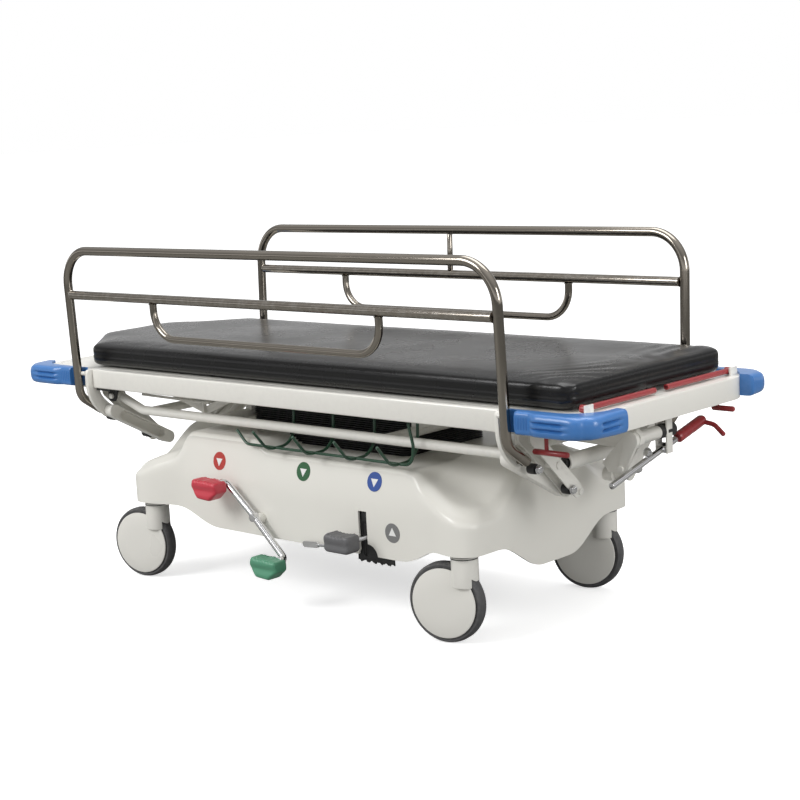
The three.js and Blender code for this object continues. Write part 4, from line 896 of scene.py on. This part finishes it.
def bumper_form(sx, sy):
    sections = bumper_sections(LONG_LEG_Y if sx * sy < 0 else SHORT_LEG_Y)

    def place(u, v):
        ix, iy, ox, oy, groove = sections[round(u * (len(sections) - 1))]
        step = round(v * (GROOVE_ROWS + 4)) % (GROOVE_ROWS + 4)
        mid = (BUMPER_LOW + BUMPER_HIGH) / 2
        half = (BUMPER_HIGH - BUMPER_LOW) / 2
        if step < 4:
            share, z = 0.0, mix(half, -half, step / 3)
        else:
            turn = mix(-math.pi / 2, math.pi / 2, (step - 4) / (GROOVE_ROWS - 1))
            z = half * math.copysign(abs(math.sin(turn)) ** 0.80, turn)
            share = max(math.cos(turn), 0.0) ** 0.22
            for line in (-0.27, 0.27) if groove > 0 else ():
                share -= groove * 0.20 * math.exp(-(((z / half - line) / 0.105) ** 2))
            if groove < 0:
                share -= 0.10 * -groove * math.exp(-((z / half / 0.7) ** 4))
        x, y = mix(ix, ox, share), mix(iy, oy, share)
        return sx * x, sy * y, mid + z

    return place


for end, side, sx, sy in CORNERS:
    bumper = surface(len(bumper_sections(LONG_LEG_Y)) - 1, GROOVE_ROWS + 4, bumper_form(sx, sy), 40)
    piece(bumper, f"bumper_moulded_{end}_{side}", "litter", "bumper_blue", f"bumper_{end}_{side}")


# ------------------------------------------------------------------ side rails
LITTER_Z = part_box("litter_side_near")[0].z
RAIL_TOP, RAIL_TUBE = 0.948, 0.0125
PIVOT_Y, PIVOT_Z = 0.295, 0.476


def post_y(z):
    return 0.366 + (z - LITTER_Z) * 0.034


def rail(side, sy):
    body = f"rail_{side}"
    shells = []

    def at(x, y, z):
        return (x, sy * y, z)

    post, elbow, foot = 0.793, 0.525, (PIVOT_Y, PIVOT_Z)
    shells.append(
        tube(
            [at(-post, *foot), at(-post, post_y(elbow), elbow), at(-post, post_y(RAIL_TOP), RAIL_TOP),
             at(post, post_y(RAIL_TOP), RAIL_TOP), at(post, post_y(elbow), elbow), at(post, *foot)],
            RAIL_TUBE, [0.045, 0.1, 0.1, 0.045], 32, 14,
        )
    )
    for x in (-post, post):
        shells.append(drum(at(x - math.copysign(0.0367, x), *foot), at(x, *foot), 0.008, 0.001, 24))
    o = joined(shells)
    piece(o, f"rail_hoop_{side}", body, "stainless", f"rail_frame_{side}")
    z = 0.821
    bar = tube([at(-0.7802, post_y(z), z), at(0, post_y(z), z), at(0.7802, post_y(z), z)], RAIL_TUBE, 0.001, 32, 1)
    piece(bar, f"rail_bar_{side}", body, "stainless", f"rail_mid_bar_{side}")
    low = 0.713
    top = 0.8082
    loop = tube(
        [at(-0.4215, post_y(top), top), at(-0.4215, post_y(low), low), at(0.4215, post_y(low), low),
         at(0.4215, post_y(top), top)],
        0.010, 0.076, 28, 14,
    )
    piece(loop, f"rail_drop_loop_{side}", body, "stainless", f"rail_loop_{side}")
    beads = []
    for x, zz, r in ((-0.4215, top, 0.0112), (0.4215, top, 0.0112)):
        beads.append(turned([(r - 0.003, -0.004), (r, -0.002), (r + 0.0014, 0.0), (r - 0.003, 0.001)],
                            at(x, post_y(zz), zz), (0, 0, 1), 32))
    for x in (-0.7802, 0.7802):
        way = math.copysign(1, x)
        beads.append(turned([(0.0095, -0.004), (0.0128, -0.0022), (0.0140, 0.0), (0.0095, 0.001)],
                            at(x, post_y(z), z), (way, 0, 0), 32))
    piece(joined(beads), f"rail_welds_{side}", body, "stainless")
    if side == "far":
        strut = drum(at(0, post_y(0.8338), 0.8338), at(0, post_y(0.9352), 0.9352), 0.008, 0.0005, 28)
        piece(strut, "rail_centre_strut", body, "stainless", "rail_strut_far")


for side, sy in SIDES:
    rail(side, sy)


# ------------------------------------------------------------------ plates and castings kept from the frame
REFINED = {
    "litter_side_near": 0.004, "litter_side_far": 0.004, "litter_end_head": 0.003, "litter_end_foot": 0.003,
    "litter_deck": 0.001, "chassis_frame": 0.001, "pedal_guard": 0.0008, "rocker_boss": 0.002, "foot_beam": 0.0012,
    "tilt_hanger": 0.0008, "tilt_lug_near": 0.0008, "tilt_lug_far": 0.0008, "backrest_links_near": 0.0008,
    "backrest_links_far": 0.0008,
}
for end, side, *_ in CORNERS:
    REFINED[f"rail_bracket_{end}_{side}"] = 0.0028
    REFINED[f"rail_carrier_{end}_{side}"] = 0.0010
for node, width in REFINED.items():
    piece(refined(node, width, 3 if width > 0.002 else 2), node + "_finished", body_of(node), SLOT_OF[node], node)


# ------------------------------------------------------------------ sub-frame
FRAME_Y, FRAME_Z, FRAME_TUBE = 0.262, 0.480, 0.013


def build_subframe():
    shells = []
    for _, sy in SIDES:
        y = sy * FRAME_Y
        shells.append(tube([(-0.747, y, 0.518), (-0.640, y, FRAME_Z), (0.715, y, FRAME_Z)], FRAME_TUBE, 0.06, 32, 10))
        shells.append(drum((-0.735, sy * 0.252, 0.520), (-0.735, sy * 0.303, 0.520), 0.008, 0.001, 24))
        shells.append(drum((0.700, sy * 0.200, FRAME_Z), (0.700, sy * 0.200, 0.5487), 0.014, 0.001, 32))
    for x in (-0.600, -0.314, 0.314, 0.700):
        shells.append(tube([(x, -FRAME_Y, FRAME_Z), (x, 0, FRAME_Z), (x, FRAME_Y, FRAME_Z)], FRAME_TUBE, 0.001, 32, 1))
    shells.append(block((-0.330, -0.180, 0.520), (0.330, 0.180, 0.528), 0.0015))
    for x in (-0.314, 0.314):
        shells.append(block((x - 0.012, -0.150, 0.488), (x + 0.012, 0.150, 0.530), 0.002))
    piece(joined(shells), "subframe_tubes", "lift", SLOT_OF["subframe"], "subframe")


build_subframe()


def build_rack():
    r = 0.004
    shells = []
    for x in (-0.050, 0.098, 0.246, 0.394):
        shells.append(
            tube([(x, -0.225, 0.541), (x, -0.232, 0.431), (x, -0.330, 0.431), (x, -0.377, 0.487)], r,
                 [0.050, 0.042], 16, 10, 0.0008)
        )
    shells.append(
        tube([(-0.198, -0.300, 0.467), (-0.162, -0.300, 0.431), (0.438, -0.300, 0.431), (0.444, -0.300, 0.481),
              (0.430, -0.300, 0.537)], r, [0.03, 0.03, 0.03], 16, 8, 0.0008)
    )
    shells.append(drum((-0.060, -0.225, 0.541), (0.404, -0.225, 0.541), r, 0.0008, 16))
    for x in (-0.050, 0.394):
        shells.append(drum((x, -0.262, 0.480), (x, -0.225, 0.480), r, 0.0005, 16))
    piece(joined(shells), "cylinder_rack_wires", body_of("cylinder_rack"), "wire_green", "cylinder_rack")


build_rack()


# ------------------------------------------------------------------ foot end controls
low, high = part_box("foot_cross_tube")
cross = tube([(0.781, low.y, 0.443), (0.781, 0, 0.443), (0.781, high.y, 0.443)], 0.019, 0.001, 40, 1, 0.002)
piece(cross, "foot_cross_bar", body_of("foot_cross_tube"), SLOT_OF["foot_cross_tube"], "foot_cross_tube")


def build_lever():
    pivot = Vector((0.930, 0.062, 0.458))
    slope = Vector((0, 280, 68)).normalized()
    bar = drum(pivot - slope * 0.225, pivot + slope * 0.058, 0.008, 0.002, 32)
    piece(joined([bar, refined("tilt_lever", 0.0008, 2)]), "tilt_lever_bar", "tilt_lever", SLOT_OF["tilt_lever"],
          "tilt_lever")
    start, stop = pivot + slope * 0.059, pivot + slope * 0.176
    grip = turned(
        [(0.0, 0.0), (0.011, 0.0), (0.0138, 0.004), (0.0138, 0.020), (0.0128, 0.024), (0.0138, 0.028), (0.0138, 0.05),
         (0.0128, 0.054), (0.0138, 0.058), (0.0138, 0.108), (0.011, 0.1155), (0.0, 0.117)],
        start, slope, 40,
    )
    trigger = tube(
        [stop - slope * 0.012, stop + Vector((0.035, -0.004, -0.010)), stop + Vector((0.070, -0.016, -0.031))],
        0.006, 0.03, 24, 8, 0.002,
    )
    piece(joined([grip, trigger]), "tilt_grip_moulded", "tilt_lever", "handle_red", "tilt_grip")


build_lever()
HANDLE_X, HANDLE_Z = 0.966, 0.6135
for side, sy in SIDES:
    hub = (HANDLE_X, sy * 0.298, HANDLE_Z)
    tip = (HANDLE_X, sy * 0.024, HANDLE_Z)
    bar = tube([hub, (HANDLE_X, sy * 0.16, HANDLE_Z), tip], 0.007, 0.001, 32, 1, 0.0025)
    knuckle = refined(f"push_handle_{side}", 0.0008, 2)
    piece(joined([bar, knuckle]), f"push_bar_{side}", f"push_handle_{side}", "handle_red", f"push_handle_{side}")
    node = f"release_pull_{side}"
    low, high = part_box(node)
    y = (low.y + high.y) / 2
    x = (0.849, 0.954)[side == "far"]
    reach = ((0.811, 0.911), (0.940, 1.002))[side == "far"]
    z = (0.501, 0.525)[side == "far"]
    rod_shell = drum((x, y, z), (x, y, high.z), 0.005, 0.0008, 24)
    bar = turned(
        [(0.0, 0.0), (0.005, 0.0), (0.007, 0.003), (0.007, reach[1] - reach[0] - 0.003),
         (0.005, reach[1] - reach[0]), (0.0, reach[1] - reach[0])],
        (reach[0], y, z), (1, 0, 0), 32,
    )
    piece(joined([rod_shell, bar]), f"release_bar_{side}", node, "handle_red", node)

piece(refined("pump_arm", 0.001, 2), "pump_arm_finished", "pump", SLOT_OF["pump_arm"], "pump_arm")
bar = tube(
    [(-0.226, -0.352, 0.327), (-0.226, -0.329, 0.327), (-0.126, -0.329, 0.247), (-0.010, -0.329, 0.139),
     (-0.010, -0.352, 0.139)],
    0.0092, [0.014, 0.30, 0.014], 32, 10,
)
hub = drum((-0.121, -0.3195, 0.2405), (-0.121, -0.3385, 0.2405), 0.0118, 0.002, 40)
collar = drum((-0.010, -0.336, 0.139), (-0.010, -0.350, 0.139), 0.0115, 0.002, 40)
piece(joined([bar, hub, collar]), "rocker_bar_bent", "rocker", SLOT_OF["rocker_bar"], "rocker_bar")


# ------------------------------------------------------------------ bolts, plugs and pedal boot
def hex_bolt(centre, axis, across, height, name, body, slot):
    centre, axis = Vector(centre), Vector(axis).normalized()
    head = drum(centre, centre + axis * height, across / 2, height * 0.18, 6, 2)
    washer = drum(centre - axis * 0.0004, centre + axis * 0.0011, across * 0.62, 0.0004, 28, 1)
    return piece(joined([head, washer]), name, body, slot)


for end, side, sx, sy in CORNERS:
    key = f"{end}_{side}"
    low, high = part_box(f"rail_bracket_{key}")
    out = sx * max(abs(low.x), abs(high.x))
    cap = turned([(0, 0), (0.011, 0), (0.0115, 0.001), (0.010, 0.0022), (0, 0.0026)],
                 (out, sy * PIVOT_Y, PIVOT_Z), (sx, 0, 0), 40)
    piece(cap, f"pivot_plug_{key}", "litter", "black_rubber")
    low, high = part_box(f"rail_carrier_{key}")
    for i, (y, z) in enumerate(((0.262, 0.452), (0.135, 0.379))):
        face = high.x if sx > 0 else low.x
        hex_bolt((face, sy * y, z), (sx, 0, 0), 0.019, 0.008, f"carrier_bolt_{key}_{i}",
                 body_of(f"rail_carrier_{key}"), "chrome")
        spacer = drum((face - sx * 0.028, sy * y, z), (face - sx * 0.006, sy * y, z), 0.0125, 0.0015, 24)
        piece(spacer, f"carrier_spacer_{key}_{i}", body_of(f"rail_carrier_{key}"), "black_rubber")

knob = turned(
    [(0.0, 0.0), (0.016, 0.0), (0.0175, 0.002), (0.0175, 0.016), (0.0155, 0.018), (0.0155, 0.022), (0.0175, 0.024),
     (0.0175, 0.060), (0.015, 0.064), (0.0, 0.0645)],
    (0.930, 0.034, 0.500), (0, 1, 0), 48,
)
piece(knob, "beam_knob", body_of("foot_beam"), "black_rubber")
cap = turned(
    [(0.0, 0.0), (0.0125, 0.0), (0.0125, 0.0035), (0.0105, 0.005), (0.004, 0.005), (0.003, 0.003), (0.0, 0.003)],
    (0.930, -0.0692, 0.500), (0, -1, 0), 40,
)
piece(cap, "beam_bolt_cap", body_of("foot_beam"), "black_rubber")
hex_bolt((0.781, -0.1335, 0.443), (0, -1, 0), 0.024, 0.010, "cross_bar_nut", body_of("foot_cross_tube"), "black_rubber")
hex_bolt((0.930, -0.006, 0.458), (0, -1, 0), 0.020, 0.009, "lever_pivot_bolt", body_of("tilt_hanger"), "chrome")


def boot_form(u, v):
    """A pleated rubber curtain behind the pedal slot, its hem wavy."""
    x = mix(0.226, 0.352, u)
    hem = 0.163 + 0.0025 * math.sin(x * 260) + 0.0015 * math.sin(x * 610)
    top = 0.300 if x < 0.280 else mix(0.300, 0.186, ease((x - 0.280) / 0.030))
    z = mix(hem, top, v)
    fold = 0.0016 * math.sin(x * 330) * (1 - v)
    return x, -0.2905 + fold, z


boot = surface(60, 24, boot_form, 60, False)
use(boot, "SOLIDIFY", thickness=0.0022, offset=0)
piece(settle(boot, 60), "pedal_boot", "base", "black_rubber")


# ------------------------------------------------------------------ floor, light and camera
deselect()
bpy.ops.mesh.primitive_plane_add(size=160, location=(0, 0, -0.0005))
floor = bpy.context.object
floor.name = "studio_floor"
floor.data.materials.append(
    finish("pale_floor", (0.93, 0.93, 0.93), 0.75, amount=0.01, dust=0.0, bump=0.02, grain=60.0)
)
floor_shader = floor.data.materials[0].node_tree.nodes["Principled BSDF"]
floor_shader.inputs["Emission Color"].default_value = (1, 1, 1, 1)
floor_shader.inputs["Emission Strength"].default_value = 0.60
paint = floor.data.materials[0].node_tree
bounce = add_node(paint, "ShaderNodeBsdfDiffuse", Color=(0.30, 0.30, 0.29, 1))
facing_lens = add_node(paint, "ShaderNodeLightPath").outputs["Is Camera Ray"]
laid = add_node(paint, "ShaderNodeMixShader", i0=facing_lens, i1=bounce.outputs[0], i2=floor_shader.outputs[0])
paint.links.new(laid.outputs[0], paint.nodes["Material Output"].inputs["Surface"])

world = bpy.data.worlds.new("studio")
world.use_nodes = True
sky = world.node_tree
backdrop = sky.nodes["Background"]
backdrop.inputs["Color"].default_value = (1, 1, 1, 1)
backdrop.inputs["Strength"].default_value = 1.0
ray = add_node(sky, "ShaderNodeTexCoord").outputs["Generated"]
height = add_node(sky, "ShaderNodeSeparateXYZ", Vector=ray).outputs["Z"]
ramp = add_node(sky, "ShaderNodeValToRGB", Fac=add_node(
    sky, "ShaderNodeMapRange", {"clamp": True}, Value=height, From_Min=-0.2, From_Max=1.0).outputs[0])
for spot, tone in ((0.0, 0.45), (0.17, 0.16), (0.42, 0.30), (1.0, 1.1)):
    stop = ramp.color_ramp.elements.new(spot) if 0 < spot < 1 else ramp.color_ramp.elements[int(spot)]
    stop.color = (tone, tone, tone, 1)
room = add_node(sky, "ShaderNodeBackground", Color=ramp.outputs["Color"], Strength=1.0)
seen = add_node(sky, "ShaderNodeLightPath").outputs["Is Camera Ray"]
both = add_node(sky, "ShaderNodeMixShader", i0=seen, i1=room.outputs[0], i2=backdrop.outputs[0])
sky.links.new(both.outputs[0], sky.nodes["World Output"].inputs["Surface"])
bpy.context.scene.world = world


def softbox(name, place, aim, size, power):
    light = bpy.data.lights.new(name, "AREA")
    light.shape = "RECTANGLE"
    light.size, light.size_y = size
    light.energy = power
    o = bpy.data.objects.new(name, light)
    bpy.context.collection.objects.link(o)
    o.location = place
    o.rotation_euler = (Vector(aim) - Vector(place)).to_track_quat("-Z", "Y").to_euler()


softbox("key_light", (-1.6, -4.2, 3.2), (0, 0, 0.35), (2.4, 1.8), 132)
softbox("side_light", (4.4, -0.2, 1.9), (0, 0, 0.45), (1.6, 1.6), 56)
softbox("top_light", (0.2, 0.6, 4.2), (0, 0, 0.3), (3.6, 2.0), 74)

scene = bpy.context.scene
scene.view_settings.view_transform = "Standard"
scene.view_settings.look = "None"

AZIMUTH, ELEVATION, ROLL = math.radians(43.1), math.radians(9.42), math.radians(-3.05)
back = Vector((math.sin(AZIMUTH) * math.cos(ELEVATION), -math.cos(AZIMUTH) * math.cos(ELEVATION), math.sin(ELEVATION)))
right = Vector((math.cos(AZIMUTH), math.sin(AZIMUTH), 0))
upward = back.cross(right)
across = math.cos(ROLL) * right + math.sin(ROLL) * upward
above = -math.sin(ROLL) * right + math.cos(ROLL) * upward
lens = bpy.data.cameras.new("catalogue_camera")
lens.lens = 78.3
lens.sensor_width = 36
lens.clip_end = 200
camera = bpy.data.objects.new("catalogue_camera", lens)
bpy.context.collection.objects.link(camera)
camera.matrix_world = Matrix.Translation((3.2766, -3.3656, 1.2893)) @ Matrix(
    ((across.x, above.x, back.x, 0), (across.y, above.y, back.y, 0), (across.z, above.z, back.z, 0), (0, 0, 0, 1))
)
scene.camera = camera
